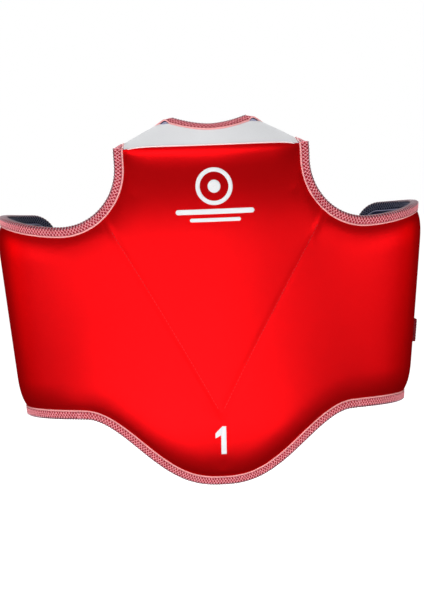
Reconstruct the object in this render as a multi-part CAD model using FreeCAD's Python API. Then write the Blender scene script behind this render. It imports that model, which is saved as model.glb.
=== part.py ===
"""A padded chest protector for martial arts, child size 1, reversible red to blue.

The pad is a foam panel that wraps round the wearer's front and sides. Its two rear wings flex open at the
sides. A white yoke goes over the shoulders to the back, where it carries an elastic belt whose two tabs
grip the wings with hook and loop. Every free edge is bound with knitted tape.

Frame, in millimetres: +Z up, the wearer faces -Y, and X is across. The origin is on the trunk's vertical
axis, level with the lowest point of the front hem. The pad is laid out on a flat pattern: S is the
distance along the panel from its front centre, Z is the height, and T is the distance outward from the
middle of the panel's thickness.
"""

import FreeCAD
import Part

import math
import os

V = FreeCAD.Vector

# Plan of the trunk at chest height, along the middle of the pad
FRONT_DEPTH = 102.0
FRONT_RADIUS = 360.0
SIDE_RADIUS = 70.0
TURN_S = 152.0
TURN_SOFTNESS = 26.0
PLAN_STEP = 0.5

# How the plan changes with height
CHEST_Z = 247.0
TAPER_PER_MM = 0.0005
LEAN_TOP_Z = 222.0
LEAN_TOP = 22.5
LEAN_TOP_SPAN = 86.0
LEAN_HEM_Z = 72.0
LEAN_HEM = 12.0
LEAN_FULL_S = 120.0
LEAN_NONE_S = 190.0

# Flat pattern of the pad
HEM_RISE = 63.0
HEM_HALF = 133.0
HEM_EASE = 1.26
HEM_SIDE_DROP = 8.0
SHOULDER_S = 83.4
ARM_Z = 288.5
ARM_WIDE = 57.0
ARM_DEEP = 54.5
ARM_CORNER_TURN = math.radians(45.0)
SIDE_TOP_RISE = 6.5
SIDE_TOP_S = 225.0
REAR_TOP_DROP = 6.0
WING_S = 200.0
REAR_S = 315.0
REAR_CORNER = 22.0
SEAM_Z = 302.7
SEAM_END_DROP = 3.0
TIP_Z = 67.0

# Thickness
HALF_FULL = 8.0
HALF_RIM = 2.8
ROUND_OVER = 34.0
GROOVE = 2.0
GROOVE_WIDE = 7.0
SKIN = 1.0
LAYER_GAP = 0.2
TAPE = 0.8
TAPE_WIDE = 11.0
TAPE_GAP = 0.25
SHEET_TAPE_GAP = 0.85
QUILT_GAP = 1.5
FOAM_CLEAR = 0.5
BODY_GAP = 0.4

# Yoke
YOKE_HALF = 1.0
YOKE_START = 1.6
FOLD_GAP = 1.3
NECK_X = 32.0
NECK_Y = -50.0
NECK_Z = 325.0
TIP_Y = -56.0
TIP_SHOULDER_Z = 300.5
NECK_FRONT_Y = -65.0
NECK_FRONT_Z = 319.5
NECK_HOLE_X = 50.0
NECK_HOLE_MID = 0.16
NECK_HOLE_END = 0.34
BACK_Y = 77.0
YOKE_BOTTOM_HALF = 52.0
YOKE_BULGE = 2.0

# Belt
BELT_Z = 119.0
BELT_WIDE = 21.0
BELT_THICK = 1.8
PAD_THICK = 1.0
BELT_T = 10.6
TAB_ROOT_S = 346.0
TAB_END_RIGHT_S = 240.0
TAB_END_LEFT_S = 268.0
PULL_LONG = 11.0
HOOK_LONG = 50.0
HOOK_WIDE = 18.0
LOOP_PATCH = (251.0, 303.0)
LOOP_PATCH_WIDE = 32.0

PATCH_HALF = 38.0
LABEL_HALF = 15.0

# Prints on the front
MARK_Z = 268.0
MARK_RADIUS = 16.0
MARK_BAND = 3.6
MARK_DOT = 5.5
NUMBER_Z = 43.5
NUMBER_HIGH = 26.0
PRINT_THICK = 0.4
PRINT_GAP = 0.4

V_STEPS = [0.0, 0.035, 0.08, 0.14, 0.22, 0.34, 0.5, 0.66, 0.78, 0.86, 0.92, 0.965, 1.0]


def smooth(q):
    """0 below 0, 1 above 1, and an S curve between."""
    q = max(0.0, min(1.0, q))
    return q * q * (3.0 - 2.0 * q)


def steps(count):
    return [i / count for i in range(count + 1)]


def make_plan():
    """The right half of the trunk's plan: x, y and heading at each step of S, as far as the back centre."""
    x, y, heading, s = 0.0, -FRONT_DEPTH, 0.0, 0.0
    table = [(x, y, heading)]
    while x > -1e-9 and s < 600.0:
        turn = smooth((s - TURN_S + TURN_SOFTNESS) / (2.0 * TURN_SOFTNESS))
        curvature = (1.0 - turn) / FRONT_RADIUS + turn / SIDE_RADIUS
        if heading >= math.pi:
            curvature = 0.0
        middle = heading + curvature * PLAN_STEP / 2.0
        heading = min(math.pi, heading + curvature * PLAN_STEP)
        x += math.cos(middle) * PLAN_STEP
        y += math.sin(middle) * PLAN_STEP
        s += PLAN_STEP
        table.append((x, y, heading))
    return table


PLAN = make_plan()
BACK_S = (len(PLAN) - 1) * PLAN_STEP + PLAN[-1][0]


def plan(s):
    """x, y and the outward normal of the plan at S, which runs on past the back centre to the other side."""
    side = -1.0 if s < 0 else 1.0
    s = abs(s)
    if s > BACK_S:
        s, side = 2.0 * BACK_S - s, -side
    i = min(int(s / PLAN_STEP), len(PLAN) - 2)
    part = s / PLAN_STEP - i
    x, y, h = (a + (b - a) * part for a, b in zip(PLAN[i], PLAN[i + 1]))
    return side * x, y, side * math.sin(h), -math.cos(h)


def lean(s, z):
    """How far the front leans back near the shoulders and tucks in at the hem."""
    share = 1.0 - smooth((abs(s) - LEAN_FULL_S) / (LEAN_NONE_S - LEAN_FULL_S))
    top = LEAN_TOP * (max(0.0, z - LEAN_TOP_Z) / LEAN_TOP_SPAN) ** 2
    hem = LEAN_HEM * (max(0.0, LEAN_HEM_Z - z) / LEAN_HEM_Z) ** 2
    return share * (top + hem)


def place(s, z, t):
    """The point in space of pattern place S, Z at T outward from the pad's middle."""
    x, y, nx, ny = plan(s)
    k = 1.0 - TAPER_PER_MM * (CHEST_Z - z)
    return V(k * x + nx * t, k * y + lean(s, z) + ny * t, z)


# ---------------------------------------------------------------- the flat pattern


def hem_z(s):
    s = abs(s)
    if s < HEM_HALF:
        return HEM_RISE / 2.0 * (1.0 - math.cos(math.pi * (s / HEM_HALF) ** HEM_EASE))
    return HEM_RISE - HEM_SIDE_DROP * smooth((s - HEM_HALF) / (REAR_S - HEM_HALF))


def arm_point(turn):
    """The armhole's curve, from straight down at turn 0 to level at a quarter turn."""
    return SHOULDER_S + ARM_WIDE * (1.0 - math.cos(turn)), ARM_Z - ARM_DEEP * math.sin(turn)


ARM_END_S = SHOULDER_S + ARM_WIDE
ARM_END_Z = ARM_Z - ARM_DEEP
CORNER_S, CORNER_Z = arm_point(ARM_CORNER_TURN)


def top_z(s):
    """The top edge from the quilt seam's upper end, along the armhole and the wing."""
    s = abs(s)
    if s < ARM_END_S:
        across = (ARM_END_S - s) / ARM_WIDE
        return ARM_Z - ARM_DEEP * math.sqrt(max(0.0, 1.0 - across * across))
    rise = SIDE_TOP_RISE * smooth((s - ARM_END_S) / (SIDE_TOP_S - ARM_END_S))
    return ARM_END_Z + rise - REAR_TOP_DROP * smooth((s - SIDE_TOP_S) / (REAR_S - SIDE_TOP_S))


def seam_z(s):
    """The yoke seam, which drops a little towards the shoulders."""
    return SEAM_Z - SEAM_END_DROP * (abs(s) / SHOULDER_S) ** 6


def quilt(part):
    """The V-shaped quilt seam, from its tip at the centre to the armhole."""
    return CORNER_S * part, TIP_Z + (CORNER_Z - TIP_Z) * part


def side_top(part):
    """The armhole's upper side, from the quilt seam's end to the yoke seam."""
    bend = 0.75
    if part < bend:
        return arm_point(ARM_CORNER_TURN * (1.0 - part / bend))
    end_z = seam_z(SHOULDER_S)
    return SHOULDER_S, ARM_Z + (end_z - ARM_Z) * (part - bend) / (1.0 - bend)


def rear_edge():
    """Round the wing from the flex line: top, rear end and hem."""
    start, turn = WING_S + BODY_GAP, REAR_S - REAR_CORNER
    edge = [(s, top_z(s)) for s in (start + (turn - start) * q for q in steps(8))]
    for q in steps(6)[1:]:
        s = turn + REAR_CORNER * math.sin(q * math.pi / 2.0)
        edge.append((s, top_z(s) - REAR_CORNER * (1.0 - math.cos(q * math.pi / 2.0))))
    high, low = edge[-1][1], hem_z(REAR_S) + REAR_CORNER
    edge += [(REAR_S, high + (low - high) * q) for q in steps(5)[1:-1]]
    for q in steps(6):
        s = turn + REAR_CORNER * math.cos(q * math.pi / 2.0)
        edge.append((s, hem_z(s) + REAR_CORNER * (1.0 - math.sin(q * math.pi / 2.0))))
    return edge + [(s, hem_z(s)) for s in (turn + (start - turn) * q for q in steps(8)[1:])]


def rim_points():
    """The pad's free edge on the right half, from the hem's centre round to the yoke seam's centre."""
    edge = [(s, hem_z(s)) for s in (WING_S * q for q in steps(40))]
    edge += rear_edge()[::-1]
    edge += [(s, top_z(s)) for s in (WING_S + (CORNER_S - WING_S) * q for q in steps(24))]
    edge += [side_top(q) for q in steps(12)]
    edge += [(s, seam_z(s)) for s in (SHOULDER_S * (1.0 - q) for q in steps(8))]
    return edge


def distance(s, z, line):
    best = 1e9
    for (a, b), (c, d) in zip(line, line[1:]):
        ux, uz = c - a, d - b
        length = ux * ux + uz * uz
        q = 0.0 if length == 0.0 else max(0.0, min(1.0, ((s - a) * ux + (z - b) * uz) / length))
        best = min(best, math.hypot(s - a - q * ux, z - b - q * uz))
    return best


RIM = rim_points()
QUILT_LINE = [quilt(0.0), quilt(1.0)]


def half_thick(s, z):
    """Half the pad's thickness: thin at the rim, full inside, with a groove along the quilt seams."""
    inward = smooth(distance(abs(s), z, RIM) / ROUND_OVER)
    groove = GROOVE * math.exp(-((distance(abs(s), z, QUILT_LINE) / GROOVE_WIDE) ** 2))
    return HALF_RIM + (HALF_FULL - HALF_RIM) * inward - groove * inward


# ---------------------------------------------------------------- patches of the pattern


def between(low, high):
    """A patch whose columns run straight from low(u) to high(u)."""

    def at(u, v):
        (a, b), (c, d) = low(u), high(u)
        return a + (c - a) * v, b + (d - b) * v

    return at


def center_patch(gap):
    """Right half of the panel above the quilt seam. gap lifts it clear of the seam, inside the armhole's edge."""

    def at(u, v):
        low_s, low_z = quilt(u)
        high_s, high_z = SHOULDER_S * u, seam_z(SHOULDER_S * u)
        s, z = low_s + (high_s - low_s) * v, low_z + (high_z - low_z) * v
        side_s, side_z = side_top(v)
        end_s = CORNER_S + (SHOULDER_S - CORNER_S) * v
        end_z = CORNER_Z + (seam_z(SHOULDER_S) - CORNER_Z) * v
        s, z = s + (side_s - end_s) * u, z + (side_z - end_z) * u
        return s - 1.2 * gap * u * (1.0 - v), z + gap * (1.0 - v)

    return at


def belly_patch(u, v):
    """Right half of the panel under the quilt seam, as far out as the seam's upper end."""
    return between(lambda q: (CORNER_S * q, hem_z(CORNER_S * q)), quilt)(u, v)


def flank_patch(u, v):
    """The panel beside the belly patch, between the hem and the armhole, as far as the flex line."""
    s = CORNER_S + (WING_S - CORNER_S) * u
    return s, hem_z(s) + (top_z(s) - hem_z(s)) * v


def wing_patch(u, v):
    """The wing behind the flex line. Its last columns follow the rounded rear corners."""
    start, turn = WING_S + BODY_GAP, REAR_S - REAR_CORNER
    run = (turn - start + REAR_CORNER * math.pi / 2.0) * u
    bend = max(0.0, run - (turn - start)) / REAR_CORNER
    s = start + run if bend == 0.0 else turn + REAR_CORNER * math.sin(bend)
    cut = REAR_CORNER * (1.0 - math.cos(bend))
    low, high = hem_z(s) + cut, top_z(s) - cut
    return s, low + (high - low) * v


def mirrored(patch):
    def at(u, v):
        s, z = patch(u, v)
        return -s, z

    return at


# ---------------------------------------------------------------- solids from grids of points


def skin_surface(grid, us, vs):
    """The smooth surface through a grid. Surfaces with the same vs meet exactly along a shared column."""
    columns = []
    for row in grid:
        curve = Part.BSplineCurve()
        curve.interpolate(Points=row, Parameters=vs)
        columns.append(curve)
    rows = []
    for j in range(columns[0].NbPoles):
        curve = Part.BSplineCurve()
        curve.interpolate(Points=[column.getPole(j + 1) for column in columns], Parameters=us)
        rows.append(curve)
    u, v = rows[0], columns[0]
    poles = [[row.getPole(i + 1) for row in rows] for i in range(u.NbPoles)]
    surface = Part.BSplineSurface()
    surface.buildFromPolesMultsKnots(
        poles,
        u.getMultiplicities(),
        v.getMultiplicities(),
        u.getKnots(),
        v.getKnots(),
        False,
        False,
        u.Degree,
        v.Degree,
    )
    return surface


def slab_faces(low, high, us, vs, open_sides=()):
    """Faces of the slab between two grids. A side in open_sides continues in the next slab and has no wall."""
    a, b = skin_surface(low, us, vs), skin_surface(high, us, vs)
    walls = {
        "start": (a.uIso(us[0]), b.uIso(us[0])),
        "end": (a.uIso(us[-1]), b.uIso(us[-1])),
        "low": (a.vIso(vs[0]), b.vIso(vs[0])),
        "high": (a.vIso(vs[-1]), b.vIso(vs[-1])),
    }
    faces = [a.toShape(), b.toShape()]
    for side, (first, second) in walls.items():
        if side not in open_sides:
            faces.append(Part.makeRuledSurface(first.toShape(), second.toShape()))
    return faces


def sewn(faces):
    """One closed solid from faces that meet edge to edge."""
    shell = Part.makeShell(faces)
    shell.sewShape()
    solid = Part.makeSolid(Part.Shell(shell.Faces))
    if solid.Volume < 0:
        solid.reverse()
    return solid


def layer(patches, low_t, high_t):
    """A solid over patches of the pattern, each with its column steps and open sides, between two offsets."""
    faces = []
    for patch, us, open_sides in patches:
        low, high = [], []
        for u in us:
            places = [patch(u, v) for v in V_STEPS]
            low.append([place(s, z, low_t(s, z)) for s, z in places])
            high.append([place(s, z, high_t(s, z)) for s, z in places])
        faces += slab_faces(low, high, us, V_STEPS, open_sides)
    return sewn(faces)


def foam_low(s, z):
    return -foam_high(s, z)


def foam_high(s, z):
    return half_thick(s, z) - SKIN - LAYER_GAP


def cover_low(s, z):
    return half_thick(s, z) - SKIN


def lining_low(s, z):
    return -half_thick(s, z)


def lining_high(s, z):
    return SKIN - half_thick(s, z)


def center_patches(gap):
    half = center_patch(gap)
    return [(half, steps(12), ("start",)), (mirrored(half), steps(12), ("start",))]


def front_patches(side):
    """The belly and flank of one half, open at the centre line, where they continue in the other half."""
    belly, flank = belly_patch, flank_patch
    if side < 0:
        belly, flank = mirrored(belly), mirrored(flank)
    return [(belly, steps(12), ("start", "end")), (flank, steps(10), ("start",))]


def foam_patches(side):
    """As the front patches of one half, but closed and clear of the other half at the centre line."""

    def belly(u, v):
        s, z = belly_patch(u, v)
        return side * max(FOAM_CLEAR, s), z

    return [(belly, steps(12), ("end",)), (front_patches(side)[1])]


def wing_patches(side):
    return [(wing_patch if side > 0 else mirrored(wing_patch), steps(16), ())]


# ---------------------------------------------------------------- bound edges


def rail_solid(sections, caps):
    """A solid swept through sections with the same corners, in order round it. Caps lists each end's quads."""
    rails = []
    for i in range(len(sections[0])):
        curve = Part.BSplineCurve()
        curve.interpolate([section[i] for section in sections])
        rails.append(curve.toShape())
    faces = [Part.makeRuledSurface(a, b) for a, b in zip(rails, rails[1:] + rails[:1])]
    for section in (sections[0], sections[-1]):
        for corners in caps:
            a, b, c, d = (section[i] for i in corners)
            faces.append(Part.makeRuledSurface(Part.makeLine(a, b), Part.makeLine(d, c)))
    return sewn(faces)


def channel(sections):
    """A U-shaped tape folded over an edge: each section has the 8 corners of the U, in order round it."""
    return rail_solid(sections, ((0, 1, 2, 3), (0, 3, 4, 7), (4, 5, 6, 7)))


def rim_sections(edge, side):
    """Sections of tape along points of the pattern's edge. The pad lies on the left of the edge, or right if side < 0."""
    sections = []
    for i, (s, z) in enumerate(edge):
        (a, b), (c, d) = edge[max(0, i - 1)], edge[min(len(edge) - 1, i + 1)]
        length = math.hypot(c - a, d - b)
        ns, nz = -(d - b) / length * side, (c - a) / length * side
        corner = []
        for inward, out in ((-TAPE, TAPE), (TAPE_WIDE, TAPE), (TAPE_WIDE, 0.0), (-TAPE_GAP / 2.0, 0.0)):
            thick = half_thick(s + ns * max(0.0, inward), z + nz * max(0.0, inward)) + TAPE_GAP + out
            corner.append((s + ns * inward, z + nz * inward, thick))
        outer = [place(*c) for c in corner]
        inner = [place(a, b, -t) for a, b, t in reversed(corner)]
        sections.append(outer + inner)
    return sections


def sheet_sections(edge, inner, normals, inner_normals):
    """Sections of tape along the edge of a thin sheet in space, from the edge to points inside it."""
    sections = []
    under = YOKE_HALF + SHEET_TAPE_GAP
    for point, inside, out, inside_out in zip(edge, inner, normals, inner_normals):
        away = point - inside
        away.normalize()
        section = []
        for side in (1.0, -1.0):
            top = [point + away * TAPE, inside, inside, point + away * SHEET_TAPE_GAP]
            ways = [out, inside_out, inside_out, out]
            high = [under + TAPE, under + TAPE, under, under]
            corners = [p + w * (h * side) for p, w, h in zip(top, ways, high)]
            section += corners if side > 0 else corners[::-1]
        sections.append(section)
    return sections


def tape_on_rim(edge, side):
    return channel(rim_sections(edge, side))


def armhole_edge():
    """From the shoulder down the armhole to the wing's flex line."""
    edge = [side_top(q) for q in steps(10)][::-1]
    edge[0] = (SHOULDER_S, edge[0][1] - 1.0)
    return edge + [(s, top_z(s)) for s in (CORNER_S + (WING_S - CORNER_S) * q for q in steps(12)[1:])]


def flipped(edge):
    return [(-s, z) for s, z in edge]


# ---------------------------------------------------------------- yoke


def bezier(points, q):
    points = list(points)
    while len(points) > 1:
        points = [tuple(a + (b - a) * q for a, b in zip(p, r)) for p, r in zip(points, points[1:])]
    return points[0]


TIP_X = SHOULDER_S - 1.0
NECK_PART = NECK_X / TIP_X
NECK_PARTS = [NECK_PART * q for q in steps(6)]
SIDE_TAPE_VS = [0.12 + 0.8 * q for q in steps(4)]
FOLD_PARTS = [NECK_PART + (1.0 - NECK_PART) * q for q in steps(6)]


def ridge(x):
    """The shoulder fold: y and z at distance x from the centre, beyond the neck."""
    part = (abs(x) - NECK_X) / (TIP_X - NECK_X)
    return NECK_Y + (TIP_Y - NECK_Y) * part, NECK_Z + (TIP_SHOULDER_Z - NECK_Z) * part**1.15


def yoke_top(part):
    """The front yoke's upper edge, from the centre of the neck past the neck point to the shoulder's tip."""
    x = TIP_X * part
    if part <= NECK_PART:
        q = part / NECK_PART
        rise = q**1.8
        return V(x, NECK_FRONT_Y + (NECK_Y - NECK_FRONT_Y) * rise, NECK_FRONT_Z + (NECK_Z - NECK_FRONT_Z) * rise)
    y, z = ridge(x)
    return V(x, y, z)


def offset_grids(grid, half):
    """The two faces of a sheet of thickness 2 * half about a grid of points in space."""
    low, high = [], []
    for i, row in enumerate(grid):
        low.append([])
        high.append([])
        for j, point in enumerate(row):
            across = grid[min(i + 1, len(grid) - 1)][j] - grid[max(i - 1, 0)][j]
            along = row[min(j + 1, len(row) - 1)] - row[max(j - 1, 0)]
            normal = across.cross(along)
            if abs(point.x) < 1e-6:
                normal.x = 0.0
            normal.normalize()
            low[i].append(point - normal * half)
            high[i].append(point + normal * half)
    return low, high


def flip_x(grid):
    return [[V(-p.x, p.y, p.z) for p in row] for row in grid]


def front_yoke_grid(parts):
    """The white front, from just above the yoke seam up to the neck and the shoulder fold."""
    grid = []
    for part in parts:
        s = SHOULDER_S * part
        low = place(s, seam_z(s) + YOKE_START, 0.0)
        high = yoke_top(part)
        grid.append([low + (high - low) * v for v in steps(4)])
    return grid


def front_yoke():
    low, high = offset_grids(front_yoke_grid(NECK_PARTS + FOLD_PARTS[1:]), YOKE_HALF)
    faces = []
    turn = len(NECK_PARTS)
    for a, b in ((low, high), (flip_x(low), flip_x(high))):
        faces += slab_faces(a[:turn], b[:turn], NECK_PARTS, steps(4), ("start", "end"))
        faces += slab_faces(a[turn - 1 :], b[turn - 1 :], FOLD_PARTS, steps(4), ("start",))
    return sewn(faces)


def back_profile(x, q):
    """The back of the yoke, from the shoulder fold at q 0 to the belt at q 1, at the fold's distance x."""
    y, z = ridge(max(NECK_X, min(TIP_X, x)))
    y += FOLD_GAP
    low = BELT_Z - BELT_WIDE / 2.0
    return bezier([(y, z), (y + 26.0, z - 8.0), (60.0, z - 16.0), (BACK_Y, 236.0), (BACK_Y, low)], q)


HOLE_TURNS = [math.radians(15.0 * i) for i in range(1, 7)]
HOLE_QS = [NECK_HOLE_MID + (NECK_HOLE_END - NECK_HOLE_MID) * math.sin(a) for a in HOLE_TURNS]
STRAP_QS = [NECK_HOLE_MID * q for q in (0.0, 0.3, 0.6, 1.0)] + HOLE_QS
PANEL_QS = [NECK_HOLE_END + (1.0 - NECK_HOLE_END) * q for q in steps(8)]


def neck_hole_x(q):
    if q < NECK_HOLE_MID:
        return NECK_X + (NECK_HOLE_X - NECK_X) * math.sin(math.pi / 2.0 * q / NECK_HOLE_MID)
    across = min(1.0, (q - NECK_HOLE_MID) / (NECK_HOLE_END - NECK_HOLE_MID))
    return NECK_HOLE_X * math.sqrt(1.0 - across * across)


def yoke_edge_x(q):
    straight = TIP_X + (YOKE_BOTTOM_HALF - TIP_X) * smooth(q)
    return straight + YOKE_BULGE * math.sin(math.pi * min(1.0, q * 1.6))


def back_point(x, q):
    """The yoke's back at x, as far down from the shoulder fold as q says."""
    fold_inner = NECK_X * (1.0 - q)
    share = max(0.0, abs(x) - fold_inner) / (yoke_edge_x(q) - fold_inner)
    y, z = back_profile(NECK_X + (TIP_X - NECK_X) * share, q)
    return V(x, y, z)


def back_grid():
    """The right half of the yoke's back: the strap beside the neck hole, then the panel under it."""
    rows = []
    for q in STRAP_QS + PANEL_QS[1:]:
        inner, edge = neck_hole_x(q), yoke_edge_x(q)
        rows.append([back_point(inner + (edge - inner) * w, q) for w in steps(6)])
    return rows


def back_yoke():
    low, high = offset_grids(back_grid(), YOKE_HALF)
    faces = []
    turn = len(STRAP_QS)
    for a, b in ((low, high), (flip_x(low), flip_x(high))):
        faces += slab_faces(a[:turn], b[:turn], STRAP_QS, steps(6), ("end",))
        faces += slab_faces(a[turn - 1 :], b[turn - 1 :], PANEL_QS, steps(6), ("start", "low"))
    return sewn(faces)


def back_patch(half_wide, start, end, thick):
    """A piece sewn on the outside of the yoke's back, between two places down it."""
    grid = []
    for w in steps(8):
        x = half_wide * (2.0 * w - 1.0)
        grid.append([back_point(x, start + (end - start) * q) for q in steps(4)])
    inside = offset_grids(grid, YOKE_HALF + LAYER_GAP)
    outside = offset_grids(grid, YOKE_HALF + LAYER_GAP + thick)
    side = 0 if inside[0][4][2].y > inside[1][4][2].y else 1
    return sewn(slab_faces(inside[side], outside[side], steps(8), steps(4)))


def edge_frames(grid, column):
    """Edge points of a sheet's grid in one column, with the way into the sheet and its normal at each."""
    points, into, normals = [], [], []
    step = 1 if column == 0 else -1
    for i, row in enumerate(grid):
        point = row[column]
        along = grid[min(i + 1, len(grid) - 1)][column] - grid[max(i - 1, 0)][column]
        along.normalize()
        inward = row[column + step] - point
        inward = inward - along * inward.dot(along)
        inward.normalize()
        normal = along.cross(inward)
        normal.normalize()
        points.append(point)
        into.append(inward)
        normals.append(normal)
    return points, into, normals


def triangles(grid):
    for low, high in zip(grid, grid[1:]):
        for a, b, c, d in zip(low, high, high[1:], low[1:]):
            yield a, b, c
            yield a, c, d


def nearest(grid, point):
    """The point of a sheet's grid nearest to point, and the sheet's normal there."""
    best = (1e9, None, None)
    for p, q, r in triangles(grid):
        u, v, w = q - p, r - p, point - p
        uu, uv, vv, wu, wv = u.dot(u), u.dot(v), v.dot(v), w.dot(u), w.dot(v)
        det = uu * vv - uv * uv
        if det < 1e-9:
            continue
        f = max(0.0, min(1.0, (vv * wu - uv * wv) / det))
        g = max(0.0, min(1.0 - f, (uu * wv - uv * wu) / det))
        on = p + u * f + v * g
        away = (point - on).Length
        if away < best[0]:
            normal = u.cross(v)
            normal.normalize()
            best = (away, on, normal)
    return best[1], best[2]


def tape_sections(grid, points, into, normals):
    inner, inner_normals = [], []
    for point, way, normal in zip(points, into, normals):
        inside, inside_out = nearest(grid, point + way * TAPE_WIDE)
        inner.append(inside)
        inner_normals.append(inside_out if inside_out.dot(normal) > 0 else inside_out * -1.0)
    return sheet_sections(points, inner, normals, inner_normals)


def tape_on_sheet(grid, column):
    return channel(tape_sections(grid, *edge_frames(grid, column)))


def neck_front_tape():
    right = front_yoke_grid([part * 0.985 for part in NECK_PARTS])
    left = flip_x(right)[::-1]
    return tape_on_sheet([row[::-1] for row in left[:-1] + right], 0)


def yoke_side_tape(side):
    """From just above the armhole tape up the front yoke's side to the shoulder fold."""
    grid = front_yoke_grid(FOLD_PARTS)
    rows = []
    for v in SIDE_TAPE_VS:
        rows.append([row[0] + (row[-1] - row[0]) * v for row in grid])
    return tape_on_sheet(rows if side > 0 else flip_x(rows), -1)


def neck_back_tape():
    """Round the neck hole behind the shoulder folds. At its lowest point the sheet lies straight below the edge."""
    grid = back_grid()
    turn = len(STRAP_QS) - 1
    points, into, normals = (column[1:turn] for column in edge_frames(grid, 0))
    centre = grid[turn][0]
    down = grid[turn + 1][0] - centre
    down.normalize()
    points.append(centre)
    into.append(down)
    normals.append(V(-1, 0, 0).cross(down))
    right = tape_sections(grid, points, into, normals)
    return channel(right + flip_x(right[-2::-1]))


# ---------------------------------------------------------------- belt and patches


def band(start, end, wide, low_t, thick, count=14):
    """A strip along the belt line, at one distance from the pad's middle."""
    low, high = [], []
    for q in steps(count):
        s = start + (end - start) * q
        heights = [BELT_Z - wide / 2.0, BELT_Z, BELT_Z + wide / 2.0]
        low.append([place(s, h, low_t) for h in heights])
        high.append([place(s, h, low_t + thick) for h in heights])
    return sewn(slab_faces(low, high, steps(count), steps(2)))


def side_band(side, start, end, wide, low_t, thick):
    return band(side * start, side * end, wide, low_t, thick)


# ---------------------------------------------------------------- prints


def print_slab(s_half, low_z, high_z):
    """A thin layer just above the outer cover, to cut prints from."""
    low, high = [], []
    for q in steps(8):
        s = s_half * (2.0 * q - 1.0)
        heights = [low_z + (high_z - low_z) * v for v in steps(8)]
        low.append([place(s, z, half_thick(s, z) + PRINT_GAP) for z in heights])
        high.append([place(s, z, half_thick(s, z) + PRINT_GAP + PRINT_THICK) for z in heights])
    return sewn(slab_faces(low, high, steps(8), steps(8)))


def prism(wire):
    """A wire in the XZ plane carried back through the front of the pad."""
    wire.translate(V(0, -FRONT_DEPTH - 40.0, 0))
    return Part.Face(wire).extrude(V(0, 90.0, 0))


def circle(radius, z):
    return Part.Wire(Part.makeCircle(radius, V(0, 0, z), V(0, 1, 0)))


def polygon(points):
    return Part.makePolygon([V(x, 0, z) for x, z in points + points[:1]])


def bar(half, z, high):
    return polygon([(-half, z - high / 2), (half, z - high / 2), (half, z + high / 2), (-half, z + high / 2)])


def front_mark():
    """A generic scoring target: a ring with a dot, over two bars."""
    slab = print_slab(42.0, MARK_Z - 34.0, MARK_Z + 20.0)
    ring = prism(circle(MARK_RADIUS, MARK_Z)).cut(prism(circle(MARK_RADIUS - MARK_BAND, MARK_Z)))
    cuts = [ring, prism(circle(MARK_DOT, MARK_Z))]
    cuts += [prism(bar(34.0, MARK_Z - 21.5, 4.4)), prism(bar(22.0, MARK_Z - 28.6, 3.2))]
    return Part.Compound([piece for cut in cuts for piece in slab.common(cut).Solids])


def size_number():
    """The size number 1: an upright stroke with a slanted flag."""
    high, stroke, flag = NUMBER_HIGH / 2.0, 4.6, 9.0
    right = 3.6
    outline = [
        (right - stroke, -high),
        (right, -high),
        (right, high),
        (right - 3.4, high),
        (right - flag - 0.6, high - 6.4),
        (right - flag - 0.6, high - 11.0),
        (right - stroke, high - 8.2),
    ]
    cut = prism(polygon([(x, z + NUMBER_Z) for x, z in outline]))
    return print_slab(14.0, NUMBER_Z - 16.0, NUMBER_Z + 16.0).common(cut)


def quilt_thread(side):
    """The row of stitches that lies in the quilt seam's groove."""
    sections = []
    for q in steps(16):
        s, z = quilt(0.03 + 0.89 * q)
        section = []
        for a, b, rise in ((-0.5, 0.3, 0.0), (0.5, -0.3, 0.0), (0.5, -0.3, 0.5), (-0.5, 0.3, 0.5)):
            section.append(place(side * (s + a), z + b, half_thick(s + a, z + b) + LAYER_GAP + rise))
        sections.append(section)
    return rail_solid(sections, ((0, 1, 2, 3),))


# ---------------------------------------------------------------- nodes


def front_nodes():
    main = front_patches(1) + front_patches(-1)
    hem = [(s, hem_z(s)) for s in (WING_S * (2.0 * q - 1.0) for q in steps(40))]
    nodes = {
        "foam_center": layer(center_patches(QUILT_GAP), foam_low, foam_high),
        "cover_outer_center": layer(center_patches(LAYER_GAP), cover_low, half_thick),
        "cover_inner_center": layer(center_patches(LAYER_GAP), lining_low, lining_high),
        "cover_outer_main": layer(main, cover_low, half_thick),
        "cover_inner_main": layer(main, lining_low, lining_high),
        "binding_hem_front": tape_on_rim(hem, 1),
        "yoke_front": front_yoke(),
        "binding_neck_front": neck_front_tape(),
        "front_mark": front_mark(),
        "size_number": size_number(),
    }
    for name, side in (("left", -1), ("right", 1)):
        edge = armhole_edge()
        nodes[f"foam_{name}"] = layer(foam_patches(side), foam_low, foam_high)
        nodes[f"binding_armhole_{name}"] = tape_on_rim(edge if side > 0 else flipped(edge), -side)
        nodes[f"binding_shoulder_{name}"] = yoke_side_tape(side)
        nodes[f"quilt_thread_{name}"] = quilt_thread(side)
    return nodes


def wing_nodes(name, side):
    edge = rear_edge()
    return {
        f"foam_{name}_wing": layer(wing_patches(side), foam_low, foam_high),
        f"cover_outer_{name}_wing": layer(wing_patches(side), cover_low, half_thick),
        f"cover_inner_{name}_wing": layer(wing_patches(side), lining_low, lining_high),
        f"binding_{name}_wing": tape_on_rim(edge if side > 0 else flipped(edge), -side),
        f"loop_patch_{name}": side_band(side, *LOOP_PATCH, LOOP_PATCH_WIDE, HALF_FULL + LAYER_GAP, PAD_THICK),
    }


def back_nodes():
    right = back_grid()
    return {
        "yoke_back": back_yoke(),
        "binding_neck_back": neck_back_tape(),
        "binding_yoke_right": tape_on_sheet(right, -1),
        "binding_yoke_left": tape_on_sheet(flip_x(right), -1),
        "belt_patch": back_patch(PATCH_HALF, 0.905, 0.99, 0.9),
        "back_label": back_patch(LABEL_HALF, 0.79, 0.845, 0.4),
        "belt": band(TAB_ROOT_S, 2.0 * BACK_S - TAB_ROOT_S, BELT_WIDE, BELT_T, BELT_THICK, 20),
    }


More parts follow.
